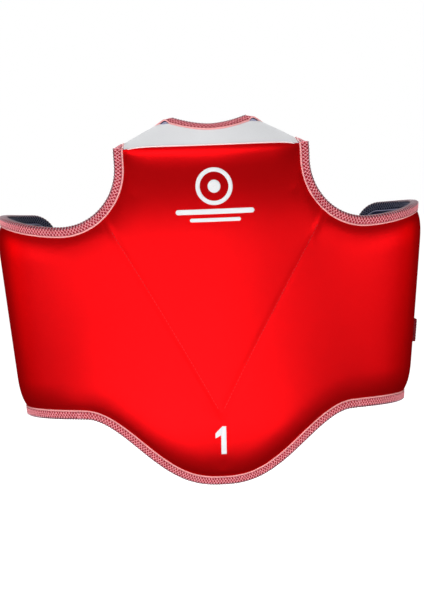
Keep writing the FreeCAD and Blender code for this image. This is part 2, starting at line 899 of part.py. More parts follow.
def tab_nodes(name, side, end):
    root, hook = TAB_ROOT_S - BODY_GAP, end + PULL_LONG
    hook_t = BELT_T - PAD_THICK
    return {
        f"belt_tab_{name}": side_band(side, end, root, BELT_WIDE, BELT_T, BELT_THICK),
        f"hook_pad_{name}": side_band(side, hook, hook + HOOK_LONG, HOOK_WIDE, hook_t, PAD_THICK - 0.1),
    }


def main():
    os.makedirs("parts", exist_ok=True)
    nodes = front_nodes()
    nodes.update(back_nodes())
    for name, side, end in (("left", -1, TAB_END_LEFT_S), ("right", 1, TAB_END_RIGHT_S)):
        nodes.update(wing_nodes(name, side))
        nodes.update(tab_nodes(name, side, end))
    for name, shape in nodes.items():
        shape.exportStep(f"parts/{name}.step")
        print(f"{name:26s} valid {shape.isValid()} solids {len(shape.Solids)} volume {shape.Volume:10.1f}")


main()
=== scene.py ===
"""Looks of the padded chest protector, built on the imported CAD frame.

The pads are laid out on the garment's flat pattern: S runs along the panel from its front centre, Z is the
height and T the distance outward from the middle of the padding, all in millimetres. place() carries a
pattern point into space, in metres.
"""

import math

import bmesh
import bpy
import numpy as np
from mathutils import Matrix, Vector
from mathutils.bvhtree import BVHTree
from mathutils.kdtree import KDTree


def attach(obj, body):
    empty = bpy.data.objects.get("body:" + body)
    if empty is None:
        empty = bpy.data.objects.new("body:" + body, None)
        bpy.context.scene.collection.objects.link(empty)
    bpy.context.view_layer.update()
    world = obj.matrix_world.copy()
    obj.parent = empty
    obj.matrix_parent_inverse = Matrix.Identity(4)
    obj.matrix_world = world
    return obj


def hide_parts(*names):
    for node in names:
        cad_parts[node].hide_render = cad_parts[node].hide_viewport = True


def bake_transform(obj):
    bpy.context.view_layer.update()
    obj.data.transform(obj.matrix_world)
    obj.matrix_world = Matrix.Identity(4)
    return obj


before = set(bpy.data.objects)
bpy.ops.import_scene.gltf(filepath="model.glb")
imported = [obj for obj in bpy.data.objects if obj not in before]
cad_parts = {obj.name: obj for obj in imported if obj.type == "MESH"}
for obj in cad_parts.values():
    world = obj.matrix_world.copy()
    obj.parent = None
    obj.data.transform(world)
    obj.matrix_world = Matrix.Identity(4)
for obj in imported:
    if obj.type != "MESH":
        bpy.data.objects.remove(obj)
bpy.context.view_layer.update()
MM = 0.001
SIDES = (("left", -1.0), ("right", 1.0))

# ---- the garment's pattern, in millimetres

FRONT_DEPTH, FRONT_RADIUS, SIDE_RADIUS = 102.0, 360.0, 70.0
TURN_S, TURN_SOFTNESS, PLAN_STEP = 152.0, 26.0, 0.5
CHEST_Z, TAPER_PER_MM = 247.0, 0.0005
LEAN_TOP_Z, LEAN_TOP, LEAN_TOP_SPAN = 222.0, 22.5, 86.0
LEAN_HEM_Z, LEAN_HEM = 72.0, 12.0
LEAN_FULL_S, LEAN_NONE_S = 120.0, 190.0

HEM_RISE, HEM_HALF, HEM_EASE, HEM_SIDE_DROP = 63.0, 133.0, 1.26, 8.0
SHOULDER_S, ARM_Z, ARM_WIDE, ARM_DEEP = 83.4, 288.5, 57.0, 54.5
ARM_CORNER_TURN = math.radians(45.0)
SIDE_TOP_RISE, SIDE_TOP_S, REAR_TOP_DROP = 6.5, 225.0, 6.0
SPLIT_S, WING_S, REAR_S, REAR_CORNER = 140.0, 200.0, 315.0, 22.0
REAR_TURN_S = REAR_S - REAR_CORNER
SEAM_Z, SEAM_END_DROP, TIP_Z = 302.7, 3.0, 67.0

# Padding before it swells: half its thickness, flat under the tape, then rounding over
HALF_FULL, HALF_RIM, SEAM_RIM = 7.8, 2.6, 1.1
TAPE_BAND, ROUND_OVER, SEAM_ROUND, SEAM_PINCH = 8.3, 24.0, 20.0, 3.0
GROOVE, GROOVE_WIDE = 0.7, 3.0
SWELL, PRESSURE, SWELL_FRAMES, PIN_FADE = 1.4, 4.0, 20, 7.0
WALL_INSET = 0.06
PAD_WELD, PIECE_WELD = 2e-5, 2e-6

# Edge tape and its threads
TAPE_THICK, TAPE_WIDE = 0.7, 7.6
STITCH = 2.9
THREAD_R, THREAD_FINE, HOLE_R, STRAND_RUN = 0.34, 0.24, 0.74, 1.5
CORD_W, CORD_HALF, CORD_HIGH = 7.35, 0.85, 1.1
LATTICE = (0.6, 6.3)
THREAD_UP, DOT_UP = np.array([0.31, 0.17, 1.0]), np.array([0.3, 0.2, 0.93])

# Yoke
YOKE_HALF = 0.8
NECK_X, NECK_Y, NECK_Z = 32.0, -50.0, 325.0
TIP_X, TIP_Y, TIP_SHOULDER_Z = SHOULDER_S - 1.0, -56.0, 300.5
NECK_FRONT_Y, NECK_FRONT_Z = -65.0, 319.5
NECK_HOLE_X, NECK_HOLE_MID, NECK_HOLE_END = 50.0, 0.16, 0.34
BACK_Y, YOKE_BOTTOM_HALF, YOKE_BULGE = 77.0, 52.0, 2.0

# Belt
BELT_Z, BELT_WIDE, BELT_THICK, BELT_T = 119.0, 21.0, 1.8, 10.6
ELASTIC_HIGH, RIB_HIGH, RIB_PITCH = BELT_T + BELT_THICK, 0.12, 2.6
TAB_ROOT_S, TAB_ENDS = 346.0, {"left": 268.0, "right": 240.0}
ROOT_S = TAB_ROOT_S + 24.0
PULL_LONG, HOOK_LONG, HOOK_WIDE, HOOK_THICK = 11.0, 50.0, 18.0, 0.9
LOOP_PATCH, LOOP_WIDE, LOOP_THICK = (251.0, 303.0), 32.0, 0.9
PATCH_HALF, LABEL_HALF = 38.0, 15.0
PATCH_SPAN, LABEL_SPAN = (0.905, 0.99), (0.79, 0.845)
PEEL_HALF, FLEX_HALF, FLEX_Z = 9.0, 16.0, 150.0

# Prints
MARK_Z, MARK_RADIUS, MARK_BAND, MARK_DOT = 268.0, 16.0, 3.6, 5.5
NUMBER_Z, NUMBER_HIGH, PRINT_HIGH = 43.5, 26.0, 0.3


def crossed(u, v):
    """u down the rows and v across the columns of a grid."""
    return np.meshgrid(u, v, indexing="ij")


def steps(count):
    return np.linspace(0.0, 1.0, count)


def unit(ways):
    return ways / np.maximum(np.linalg.norm(ways, axis=-1, keepdims=True), 1e-12)


def smooth(q):
    q = np.clip(q, 0.0, 1.0)
    return q * q * (3.0 - 2.0 * q)


def make_plan():
    """x, y and heading of the pad's middle in plan, at each step of S from the front centre to the back's."""
    x, y, heading, s = 0.0, -FRONT_DEPTH, 0.0, 0.0
    table = [(x, y, heading)]
    while x > -1e-9 and s < 600.0:
        turn = float(smooth((s - TURN_S + TURN_SOFTNESS) / (2.0 * TURN_SOFTNESS)))
        curvature = (1.0 - turn) / FRONT_RADIUS + turn / SIDE_RADIUS
        if heading >= math.pi:
            curvature = 0.0
        middle = heading + curvature * PLAN_STEP / 2.0
        heading = min(math.pi, heading + curvature * PLAN_STEP)
        x += math.cos(middle) * PLAN_STEP
        y += math.sin(middle) * PLAN_STEP
        s += PLAN_STEP
        table.append((x, y, heading))
    return np.array(table)


PLAN = make_plan()
PLAN_S = np.arange(len(PLAN)) * PLAN_STEP
BACK_S = PLAN_S[-1] + PLAN[-1, 0]


def place(s, z, t):
    """Points in space, in metres, of pattern points S, Z at T outward from the padding's middle."""
    s, z, t = (np.asarray(a, float) for a in np.broadcast_arrays(s, z, t))
    side = np.where(s < 0, -1.0, 1.0)
    away = np.abs(s)
    side = np.where(away > BACK_S, -side, side)
    away = np.where(away > BACK_S, 2.0 * BACK_S - away, away)
    x, y, heading = (np.interp(away, PLAN_S, PLAN[:, i]) for i in range(3))
    k = 1.0 - TAPER_PER_MM * (CHEST_Z - z)
    share = 1.0 - smooth((away - LEAN_FULL_S) / (LEAN_NONE_S - LEAN_FULL_S))
    lean = LEAN_TOP * (np.maximum(0.0, z - LEAN_TOP_Z) / LEAN_TOP_SPAN) ** 2
    lean += LEAN_HEM * (np.maximum(0.0, LEAN_HEM_Z - z) / LEAN_HEM_Z) ** 2
    px = side * (k * x + np.sin(heading) * t)
    py = k * y + share * lean - np.cos(heading) * t
    return np.stack([px, py, z], -1) * MM


def hem_z(s):
    s = np.abs(s)
    front = HEM_RISE / 2.0 * (1.0 - np.cos(np.pi * (np.minimum(s, HEM_HALF) / HEM_HALF) ** HEM_EASE))
    return front - HEM_SIDE_DROP * smooth((s - HEM_HALF) / (REAR_S - HEM_HALF))


def arm_point(turn):
    return SHOULDER_S + ARM_WIDE * (1.0 - np.cos(turn)), ARM_Z - ARM_DEEP * np.sin(turn)


ARM_END_S = SHOULDER_S + ARM_WIDE
CORNER_S, CORNER_Z = (float(c) for c in arm_point(ARM_CORNER_TURN))


def top_z(s):
    s = np.abs(s)
    across = np.clip((ARM_END_S - s) / ARM_WIDE, 0.0, 1.0)
    arm = ARM_Z - ARM_DEEP * np.sqrt(1.0 - across**2)
    rise = SIDE_TOP_RISE * smooth((s - ARM_END_S) / (SIDE_TOP_S - ARM_END_S))
    return arm + rise - REAR_TOP_DROP * smooth((s - SIDE_TOP_S) / (REAR_S - SIDE_TOP_S))


def seam_z(s):
    return SEAM_Z - SEAM_END_DROP * (np.abs(s) / SHOULDER_S) ** 6


def side_top(part):
    """The armhole's upper side, from the quilt seam's end to the yoke seam."""
    bend = 0.75
    arc_s, arc_z = arm_point(ARM_CORNER_TURN * (1.0 - np.minimum(part, bend) / bend))
    up = np.maximum(0.0, part - bend) / (1.0 - bend)
    return arc_s, np.where(part > bend, ARM_Z + (seam_z(SHOULDER_S) - ARM_Z) * up, arc_z)


def rear_edge(start, count):
    """Round the wing from S start at its top, past the rear end and back to start on the hem."""
    bend = np.linspace(0.0, math.pi / 2.0, 16)
    top_s = np.linspace(start, REAR_TURN_S, count)
    s = REAR_TURN_S + REAR_CORNER * np.sin(bend)
    upper = top_z(s) - REAR_CORNER * (1.0 - np.cos(bend))
    lower = hem_z(s) + REAR_CORNER * (1.0 - np.cos(bend))
    parts = [
        (top_s, top_z(top_s)),
        (s[1:], upper[1:]),
        (np.full(20, REAR_S), np.linspace(upper[-1], lower[-1], 22)[1:-1]),
        (s[::-1], lower[::-1]),
        (top_s[::-1][1:], hem_z(top_s[::-1][1:])),
    ]
    return np.concatenate([np.stack([np.asarray(a, float), b], -1) for a, b in parts])


def arm_edge(start_z, end_s):
    """From the top of the armhole down and out to S end_s."""
    down = np.stack([np.full(4, SHOULDER_S), np.linspace(start_z, ARM_Z, 5)[:-1]], -1)
    turns = np.linspace(0.0, math.pi / 2.0, 40)
    arc = np.stack(arm_point(turns), -1)
    out = np.linspace(ARM_END_S, end_s, 30)[1:]
    return np.concatenate([down, arc, np.stack([out, top_z(out)], -1)])


def hem_edge(start, end, count=160):
    s = np.linspace(start, end, count)
    return np.stack([s, hem_z(s)], -1)


def distance(s, z, line):
    """How far each pattern point is from a line of pattern points."""
    p = np.stack([np.abs(s), z], -1).reshape(-1, 1, 2)
    a, b = line[None, :-1], line[None, 1:]
    d = b - a
    q = np.clip(((p - a) * d).sum(-1) / np.maximum((d**2).sum(-1), 1e-9), 0.0, 1.0)
    gap = p - a - q[..., None] * d
    return np.sqrt((gap**2).sum(-1).min(1)).reshape(np.shape(s))


RIM = np.concatenate([hem_edge(0.0, WING_S), rear_edge(WING_S, 20)[::-1], arm_edge(SEAM_Z, WING_S)[::-1]])
SEAM = np.stack([np.linspace(0.0, SHOULDER_S + 6.0, 20), seam_z(np.linspace(0.0, SHOULDER_S, 20))], -1)
QUILT = np.array([[0.0, TIP_Z], [CORNER_S, CORNER_Z]])


def half_thick(s, z):
    rim = np.clip((distance(s, z, RIM) - TAPE_BAND) / ROUND_OVER, 0.0, 1.0)
    seam = np.clip(distance(s, z, SEAM) / SEAM_ROUND, 0.0, 1.0)
    full = (1.0 - (1.0 - rim) ** 2) ** 0.6 * (1.0 - (1.0 - seam) ** 2) ** 0.55
    groove = GROOVE * np.exp(-((distance(s, z, QUILT) / GROOVE_WIDE) ** 2))
    pinch = (HALF_RIM - SEAM_RIM) * np.exp(-((distance(s, z, SEAM) / SEAM_PINCH) ** 2))
    return HALF_RIM + (HALF_FULL - HALF_RIM) * full - groove * full - pinch


# ---- mesh helpers


def new_object(name, verts, faces, materials, indices=None, uvs=None):
    mesh = bpy.data.meshes.new(name)
    mesh.from_pydata([tuple(v) for v in verts], [], [tuple(int(i) for i in f) for f in faces])
    for material in materials:
        mesh.materials.append(material)
    if indices is not None:
        mesh.polygons.foreach_set("material_index", np.asarray(indices, np.int32))
    if uvs is not None:
        layer = mesh.uv_layers.new(name="UVMap")
        loops = np.zeros(len(mesh.loops), np.int32)
        mesh.loops.foreach_get("vertex_index", loops)
        layer.data.foreach_set("uv", np.asarray(uvs, np.float32)[loops].ravel())
    mesh.polygons.foreach_set("use_smooth", np.full(len(mesh.polygons), True))
    mesh.update()
    obj = bpy.data.objects.new(name, mesh)
    bpy.context.scene.collection.objects.link(obj)
    return obj


def grid_faces(rows, columns, start=0, flip=False):
    i, j = crossed(np.arange(rows - 1), np.arange(columns - 1))
    a = start + i * columns + j
    quads = np.stack([a, a + 1, a + columns + 1, a + columns], -1).reshape(-1, 4)
    return quads[:, ::-1] if flip else quads


class Build:
    """Collects vertices, faces, materials and pattern coordinates for one mesh."""

    def __init__(self):
        self.verts, self.faces, self.mats, self.uvs = [], [], [], []
        self.count = 0

    def grid(self, points, material=0, uv=None, flip=False, closed=False):
        rows, columns = points.shape[:2]
        faces = grid_faces(rows, columns, self.count, flip)
        if closed:
            a = self.count + np.arange(rows - 1) * columns
            wrap = np.stack([a + columns - 1, a, a + columns, a + 2 * columns - 1], -1)
            faces = np.concatenate([faces, wrap[:, ::-1] if flip else wrap])
        self.add(points.reshape(-1, 3), faces, material, None if uv is None else uv.reshape(-1, 2))

    def add(self, verts, faces, material=0, uv=None):
        self.verts.append(verts)
        self.uvs.append(np.zeros((len(verts), 2)) if uv is None else uv)
        self.faces += [list(f) for f in faces]
        self.mats += [material] * len(faces)
        self.count += len(verts)

    def tube(self, rows, material, flip=False):
        """A tube whose rows are rings, closed at both ends."""
        start, sides = self.count, rows.shape[1]
        self.grid(rows, material, flip=flip, closed=True)
        last = start + (len(rows) - 1) * sides
        self.faces += [list(range(start, start + sides)), list(range(last, last + sides))[::-1]]
        self.mats += [material] * 2

    def make(self, name, materials):
        verts, uvs = np.concatenate(self.verts), np.concatenate(self.uvs)
        return new_object(name, verts, self.faces, materials, self.mats, uvs * MM)


def weld(obj, gap=1e-5):
    mesh = bmesh.new()
    mesh.from_mesh(obj.data)
    bmesh.ops.remove_doubles(mesh, verts=mesh.verts, dist=gap)
    bmesh.ops.recalc_face_normals(mesh, faces=mesh.faces)
    mesh.to_mesh(obj.data)
    mesh.free()
    obj.data.update()


def apply_modifiers(obj):
    """Bakes the object's modifiers into its mesh."""
    graph = bpy.context.evaluated_depsgraph_get()
    mesh = bpy.data.meshes.new_from_object(obj.evaluated_get(graph))
    obj.modifiers.clear()
    obj.data = mesh


def subdivide(obj):
    modifier = obj.modifiers.new("smooth", "SUBSURF")
    modifier.levels = modifier.render_levels = 1
    apply_modifiers(obj)


def solidify(obj, thick, offset):
    modifier = obj.modifiers.new("thick", "SOLIDIFY")
    modifier.thickness = thick * MM
    modifier.offset = offset
    modifier.use_even_offset = True
    apply_modifiers(obj)


def resample(points, step):
    """Points at equal steps along a line, so that the last step ends at its end."""
    length = np.concatenate([[0.0], np.cumsum(np.linalg.norm(np.diff(points, axis=0), axis=1))])
    count = max(2, int(round(length[-1] / step)) + 1)
    at = np.linspace(0.0, length[-1], count)
    return np.stack([np.interp(at, length, points[:, i]) for i in range(points.shape[1])], -1)


# ---- materials


class Shader:
    """A new material and the nodes that feed its surface."""

    def __init__(self, name):
        self.material = bpy.data.materials.new(name)
        self.material.use_nodes = True
        self.tree = self.material.node_tree

    def fill(self, node, inputs):
        """Sets a node's inputs: a socket is linked, and anything else is the input's own value."""
        for name, value in inputs.items():
            if isinstance(value, bpy.types.NodeSocket):
                self.tree.links.new(value, node.inputs[name])
            else:
                node.inputs[name].default_value = value

    def node(self, kind, inputs, output=0, **settings):
        node = self.tree.nodes.new(f"ShaderNode{kind}")
        for name, value in settings.items():
            setattr(node, name, value)
        self.fill(node, inputs)
        return node.outputs[output]

    def coords(self, kind="Object"):
        return self.node("TexCoord", {}, kind)

    def tone(self, colour, amount, scale):
        """The colour with soft uneven patches of slightly darker and lighter tone."""
        noise = self.node("TexNoise", {"Vector": self.coords(), "Scale": scale, "Detail": 5.0}, "Fac")
        dark = (*[c * (1.0 - amount) for c in colour], 1.0)
        light = (*[min(1.0, c * (1.0 + amount)) for c in colour], 1.0)
        return self.node("MixRGB", {0: noise, 1: dark, 2: light})

    def wave(self, direction, pitch, coords="Object", **inputs):
        """Bands at a pitch in millimetres."""
        scale = 2.0 * math.pi / (20.0 * pitch * MM)
        inputs = {"Vector": self.coords(coords), "Scale": scale, **inputs}
        return self.node("TexWave", inputs, "Fac", bands_direction=direction)

    # Multiplies the colour by a relief's height: painted shade in the relief's low parts.
    def paint_hollow_shade(self, colour, by, share):
        return self.node("MixRGB", {0: share, 1: colour, 2: by}, blend_type="MULTIPLY")

    def relief(self, height, strength, deep, **settings):
        return self.node("Bump", {"Height": height, "Strength": strength, "Distance": deep}, **settings)

    def surface(self, inputs):
        self.fill(self.tree.nodes["Principled BSDF"], inputs)
        return self.material


def fabric(
    name, colour, rough, weave=0.55, bump=0.25, variation=0.08, sheen=0.2, sheen_tint=None,
    specular=0.3, satin=0.0, edge=(1.0, 1.0, 1.0),
):
    """Knitted fabric: fine courses and wales in the bump, painted shade in the knit's low courses, and softly
    uneven colour.
    """
    shader = Shader(name)
    detail = {"Distortion": 1.2, "Detail": 1.0, "Detail Scale": 2.0}
    rows = {i: shader.wave(direction, weave, **detail) for i, direction in enumerate(("X", "Z"))}
    knit_relief_and_shade = shader.node("Math", rows, operation="MULTIPLY")
    return shader.surface(
        {
            # Painted shade: the base colour is darkened where the knit's relief is low.
            "Base Color": shader.paint_hollow_shade(shader.tone(colour, variation, 14.0), knit_relief_and_shade, 0.22),
            "Normal": shader.relief(knit_relief_and_shade, bump, 0.0002),
            "Roughness": rough,
            "Specular IOR Level": specular,
            "Metallic": satin,
            "Specular Tint": (*edge, 1.0),
            "Sheen Weight": sheen,
            "Sheen Roughness": 0.4,
            "Sheen Tint": (*(sheen_tint or colour), 1.0),
        }
    )


def thread(name, colour, rough=0.5, variation=0.15):
    """Twisted thread: fine slanting plies in the bump, with a little uneven tone."""
    shader = Shader(name)
    plies = {"Vector": shader.coords(), "Scale": 900.0}
    plies = shader.node("TexWave", plies, "Fac", bands_direction="DIAGONAL")
    return shader.surface(
        {
            "Base Color": shader.tone(colour, variation, 900.0),
            "Normal": shader.relief(plies, 0.4, 0.0001),
            "Roughness": rough,
            "Specular IOR Level": 0.35,
        }
    )


def elastic(name, colour):
    """Woven elastic: lengthwise ribs with a fine cross weave between them, and painted shade where the weave
    is low.
    """
    shader = Shader(name)
    pitches = (("X", 0.9), ("Y", 1.3))
    ribs = {i: shader.wave(way, pitch, "UV", Distortion=0.6) for i, (way, pitch) in enumerate(pitches)}
    weave = shader.node("Math", ribs, operation="ADD")
    weave = shader.node("Math", {0: weave, 1: 0.5}, operation="MULTIPLY")
    return shader.surface(
        {
            # Painted shade: the colour is darkened where the weave's relief is low.
            "Base Color": shader.paint_hollow_shade(shader.tone(colour, 0.15, 60.0), weave, 0.45),
            "Normal": shader.relief(weave, 0.6, 0.0003),
            "Roughness": 0.7,
            "Specular IOR Level": 0.25,
        }
    )


def pile(name, colour, scale):
    """Hook or loop tape: a dense field of small bumps, with a painted highlight on each bump's raised middle
    and painted shade between the bumps.
    """
    shader = Shader(name)
    cell_height_and_shading = shader.node("TexVoronoi", {"Vector": shader.coords(), "Scale": scale}, "Distance")
    # Painted highlight and shade: a lighter copy of the colour on the bumps' middles, a darker copy between
    # them.
    light = (*[min(1.0, c * 1.35) for c in colour], 1.0)
    dark = (*[c * 0.45 for c in colour], 1.0)
    return shader.surface(
        {
            "Base Color": shader.node("MixRGB", {0: cell_height_and_shading, 1: light, 2: dark}),
            "Normal": shader.relief(cell_height_and_shading, 0.9, 0.0007, invert=True),
            "Roughness": 0.85,
            "Sheen Weight": 0.4,
            "Sheen Tint": (*colour, 1.0),
        }
    )


SATIN = dict(bump=0.1, sheen=0.0, specular=0.0, satin=0.8, edge=(0.1, 0.0, 0.01))
RED = fabric("red_satin", (0.70, 0.004, 0.006), 0.44, **SATIN)
LINING = dict(sheen=0.1, sheen_tint=(0.3, 0.35, 0.7), specular=0.2)
NAVY = fabric("navy_satin", (0.008, 0.009, 0.045), 0.45, **LINING)
WHITE = fabric("white_stretch", (0.86, 0.87, 0.89), 0.7, weave=0.8, bump=0.35, variation=0.03, sheen=0.1)
TAPE_RED = fabric("tape_red", (0.38, 0.004, 0.02), 0.6, weave=0.9, bump=0.5, variation=0.15)
TAPE_NAVY = fabric("tape_navy", (0.016, 0.018, 0.065), 0.6, weave=0.9, bump=0.5, variation=0.15)
THREAD_PINK = thread("thread_pink", (0.84, 0.30, 0.34))
THREAD_GREY = thread("thread_grey", (0.42, 0.30, 0.33))
THREAD_SILVER = thread("thread_silver", (0.22, 0.23, 0.32))
CORD_PINK = thread("edge_line_pink", (0.84, 0.36, 0.36), 0.4, 0.08)
PIPING = thread("piping_pale", (0.92, 0.72, 0.72), 0.4, 0.05)
CORD_LILAC = thread("edge_line_lilac", (0.34, 0.34, 0.50), 0.4, 0.08)
# Painted shade: near-black domes stand for the shade in the stitch holes, on the tape's red face and on its
# navy face.
PAINTED_HOLE_SHADE = thread("painted_hole_shade", (0.06, 0.008, 0.03), 0.8)
PAINTED_HOLE_SHADE_NAVY = thread("painted_hole_shade_navy", (0.008, 0.009, 0.03), 0.8)
THREAD_RED = thread("thread_red", (0.42, 0.006, 0.012))
THREAD_WHITE = thread("thread_white", (0.8, 0.8, 0.82))
THREAD_DARK = thread("thread_dark", (0.16, 0.004, 0.012))
ELASTIC = elastic("elastic_red", (0.30, 0.004, 0.018))
HOOK = pile("hook_red", (0.20, 0.003, 0.012), 420.0)
LOOP = pile("loop_red", (0.42, 0.006, 0.02), 260.0)
LABEL = fabric("label_satin", (0.78, 0.78, 0.76), 0.5, weave=0.35, bump=0.15, variation=0.02)
INK = fabric("white_ink", (0.86, 0.86, 0.88), 0.45, bump=0.12, variation=0.04, sheen=0.0)


# ---- pads


def quilt(part):
    return CORNER_S * part, TIP_Z + (CORNER_Z - TIP_Z) * part


def center_patch(u, v):
    low_s, low_z = quilt(u)
    high_s, high_z = SHOULDER_S * u, seam_z(SHOULDER_S * u)
    side_s, side_z = side_top(v)
    end_s = CORNER_S + (SHOULDER_S - CORNER_S) * v
    end_z = CORNER_Z + (seam_z(SHOULDER_S) - CORNER_Z) * v
    s = low_s + (high_s - low_s) * v + (side_s - end_s) * u
    z = low_z + (high_z - low_z) * v + (side_z - end_z) * u
    return s, z


def belly_patch(u, v):
    s, high = quilt(u)
    low = hem_z(s)
    return s, low + (high - low) * v


def flank_patch(u, v):
    s = CORNER_S + (SPLIT_S - CORNER_S) * u
    low, high = hem_z(s), top_z(s)
    return s, low + (high - low) * v


def side_patch(u, v):
    straight = REAR_TURN_S - SPLIT_S
    run = (straight + REAR_CORNER * math.pi / 2.0) * u
    bend = np.maximum(0.0, run - straight) / REAR_CORNER
    s = np.where(bend > 0.0, REAR_TURN_S + REAR_CORNER * np.sin(bend), SPLIT_S + run)
    cut = REAR_CORNER * (1.0 - np.cos(bend))
    low, high = hem_z(s) + cut, top_z(s) - cut
    return s, low + (high - low) * v


ROWS = 52
SIDE_ROWS = steps(ROWS)


def sample(patch, columns, rows=SIDE_ROWS):
    u, v = crossed(steps(columns), rows)
    return np.stack(patch(u, v), -1)


FRONT_PATCHES = [
    (center_patch, 34, steps(60)),
    (belly_patch, 34, SIDE_ROWS),
    (flank_patch, 12, SIDE_ROWS),
]


def front_layout():
    """Pattern grids of the whole front, both halves, with the side each is on."""
    layout = []
    for side in (1.0, -1.0):
        for patch, columns, rows in FRONT_PATCHES:
            grid = sample(patch, columns, rows)
            layout.append((grid * (side, 1.0), side))
    return layout


def pad_faces(build, layout, boundary_edges):
    """The red outside and the blue inside of a pad, and the walls that join them along its boundary."""
    for grid, side in layout:
        s, z = grid[..., 0], grid[..., 1]
        thick = half_thick(s, z)
        build.grid(place(s, z, thick), 0, grid, flip=side > 0)
        build.grid(place(s, z, -thick), 1, grid, flip=side < 0)
    for edge in boundary_edges:
        inset = WALL_INSET if np.ptp(edge[:, 0]) < 1e-6 and abs(abs(edge[0, 0]) - SPLIT_S) < 1e-6 else 0.0
        thick = half_thick(edge[:, 0], edge[:, 1]) - inset
        across = np.linspace(1.0, -1.0, 5)
        wall = np.stack([place(edge[:, 0], edge[:, 1], thick * a) for a in across], 1)
        build.grid(wall, 0, np.repeat(edge[:, None], 5, 1))


def grid_edges(grid, names):
    sides = {"start": grid[0], "end": grid[-1], "low": grid[:, 0], "high": grid[:, -1]}
    return [sides[name] for name in names]


def front_pad():
    build = Build()
    layout = front_layout()
    edges = []
    for i, (grid, _) in enumerate(layout):
        names = {0: ("end", "high"), 1: ("low",), 2: ("end", "low", "high")}[i % 3]
        edges += grid_edges(grid, names)
    pad_faces(build, layout, edges)
    obj = build.make("front_pad", [RED, NAVY])
    weld(obj, PAD_WELD)
    return obj


def pin_weight(s, z):
    """How firmly the covers are held: fully under the tape, along the seam and in the quilt lines."""
    held = [(RIM, TAPE_BAND + 0.5, PIN_FADE), (SEAM, 2.0, PIN_FADE), (QUILT, 1.0, PIN_FADE)]
    weights = [1.0 - (distance(s, z, line) - hold) / fade for line, hold, fade in held]
    return np.clip(np.max(weights, 0), 0.0, 1.0)


def swell_field():
    """A cloth simulation of the whole pad under its padding's pressure. Gives its points and their moves."""
    build, layout, edges = Build(), [], []
    patches = [(center_patch, 17, 30, ("end", "high")), (belly_patch, 17, 26, ("low",))]
    patches += [(flank_patch, 6, 26, ("low", "high")), (side_patch, 30, 26, ("end", "low", "high"))]
    for side in (1.0, -1.0):
        for patch, columns, rows, names in patches:
            grid = sample(patch, columns, steps(rows)) * (side, 1.0)
            layout.append((grid, side))
            edges += grid_edges(grid, names)
    pad_faces(build, layout, edges)
    obj = build.make("swelling", [RED, NAVY])
    weld(obj, PAD_WELD)
    mesh = obj.data
    rest, pattern = np.zeros(len(mesh.vertices) * 3), np.zeros(len(mesh.loops) * 2)
    owner = np.zeros(len(mesh.loops), np.int32)
    mesh.vertices.foreach_get("co", rest)
    mesh.uv_layers[0].data.foreach_get("uv", pattern)
    mesh.loops.foreach_get("vertex_index", owner)
    at = np.zeros((len(mesh.vertices), 2))
    at[owner] = pattern.reshape(-1, 2) / MM
    group = obj.vertex_groups.new(name="held")
    for index, weight in enumerate(pin_weight(at[:, 0], at[:, 1])):
        group.add([index], float(weight), "REPLACE")
    cloth = obj.modifiers.new("padding", "CLOTH")
    cloth.settings.vertex_group_mass = "held"
    cloth.settings.use_pressure = True
    cloth.settings.uniform_pressure_force = PRESSURE
    cloth.settings.effector_weights.gravity = 0.0
    cloth.settings.quality = 6
    for frame_number in range(1, SWELL_FRAMES + 1):
        bpy.context.scene.frame_set(frame_number)
    moved = np.zeros_like(rest)
    shown = obj.evaluated_get(bpy.context.evaluated_depsgraph_get()).to_mesh()
    shown.vertices.foreach_get("co", moved)
    rest, moved = rest.reshape(-1, 3), moved.reshape(-1, 3)
    bpy.context.scene.frame_set(1)
    bpy.data.objects.remove(obj)
    move = moved - rest
    far = np.linalg.norm(move, axis=1)[:, None]
    return rest, move * np.minimum(1.0, SWELL * MM / np.maximum(far, 1e-9))


def swell(obj, field):
    """Moves the pad's points by the simulated field, then smooths it."""
    if field is not None:
        rest, move = field
        tree = KDTree(len(rest))
        for index, point in enumerate(rest):
            tree.insert(point, index)
        tree.balance()
        for vertex in obj.data.vertices:
            near = tree.find_n(vertex.co, 4)
            weights = np.array([1.0 / (distance_to + 1e-5) ** 2 for _, _, distance_to in near])
            step = (weights[:, None] * move[[index for _, index, _ in near]]).sum(0) / weights.sum()
            vertex.co += Vector(step)
    subdivide(obj)


def side_pad(name, side):
    build = Build()
    grid = sample(side_patch, 60) * (side, 1.0)
    pad_faces(build, [(grid, side)], grid_edges(grid, ("start", "end", "low", "high")))
    obj = build.make(f"side_pad_{name}", [RED, NAVY])
    weld(obj, PAD_WELD)
    return obj


class Surface:
    """A pad's outer face as it is after its padding has swelled."""

    def __init__(self, obj):
        self.tree = BVHTree.FromObject(obj, bpy.context.evaluated_depsgraph_get())

    def at_pattern(self, s, z):
        """Points and normals of the outer face at pattern points."""
        far, near = place(s, z, 40.0), place(s, z, 0.0)
        return self.cast(far, near - far)

    def at_front(self, x, z):
        """The outer face straight behind x, z in millimetres."""
        far = np.stack([x, np.full_like(x, -200.0), z], -1) * MM
        return self.cast(far, np.broadcast_to((0.0, 1.0, 0.0), far.shape))

    def cast(self, starts, ways):
        points, normals = [], []
        for start, way in zip(starts.reshape(-1, 3), ways.reshape(-1, 3)):
            hit, normal = self.tree.ray_cast(Vector(start), Vector(way).normalized())[:2]
            if hit is None:
                hit, normal = self.tree.find_nearest(Vector(start))[:2]
            if normal.dot(Vector(way)) > 0.0:
                normal = -normal
            points.append(tuple(hit))
            normals.append(tuple(normal))
        return np.array(points).reshape(starts.shape), np.array(normals).reshape(starts.shape)


# ---- edge tape


def along_line(line, index):
    """A line's points at fractional indices."""
    at = np.asarray(index, float)
    return np.stack([np.interp(at, np.arange(len(line)), column) for column in line.T], -1)


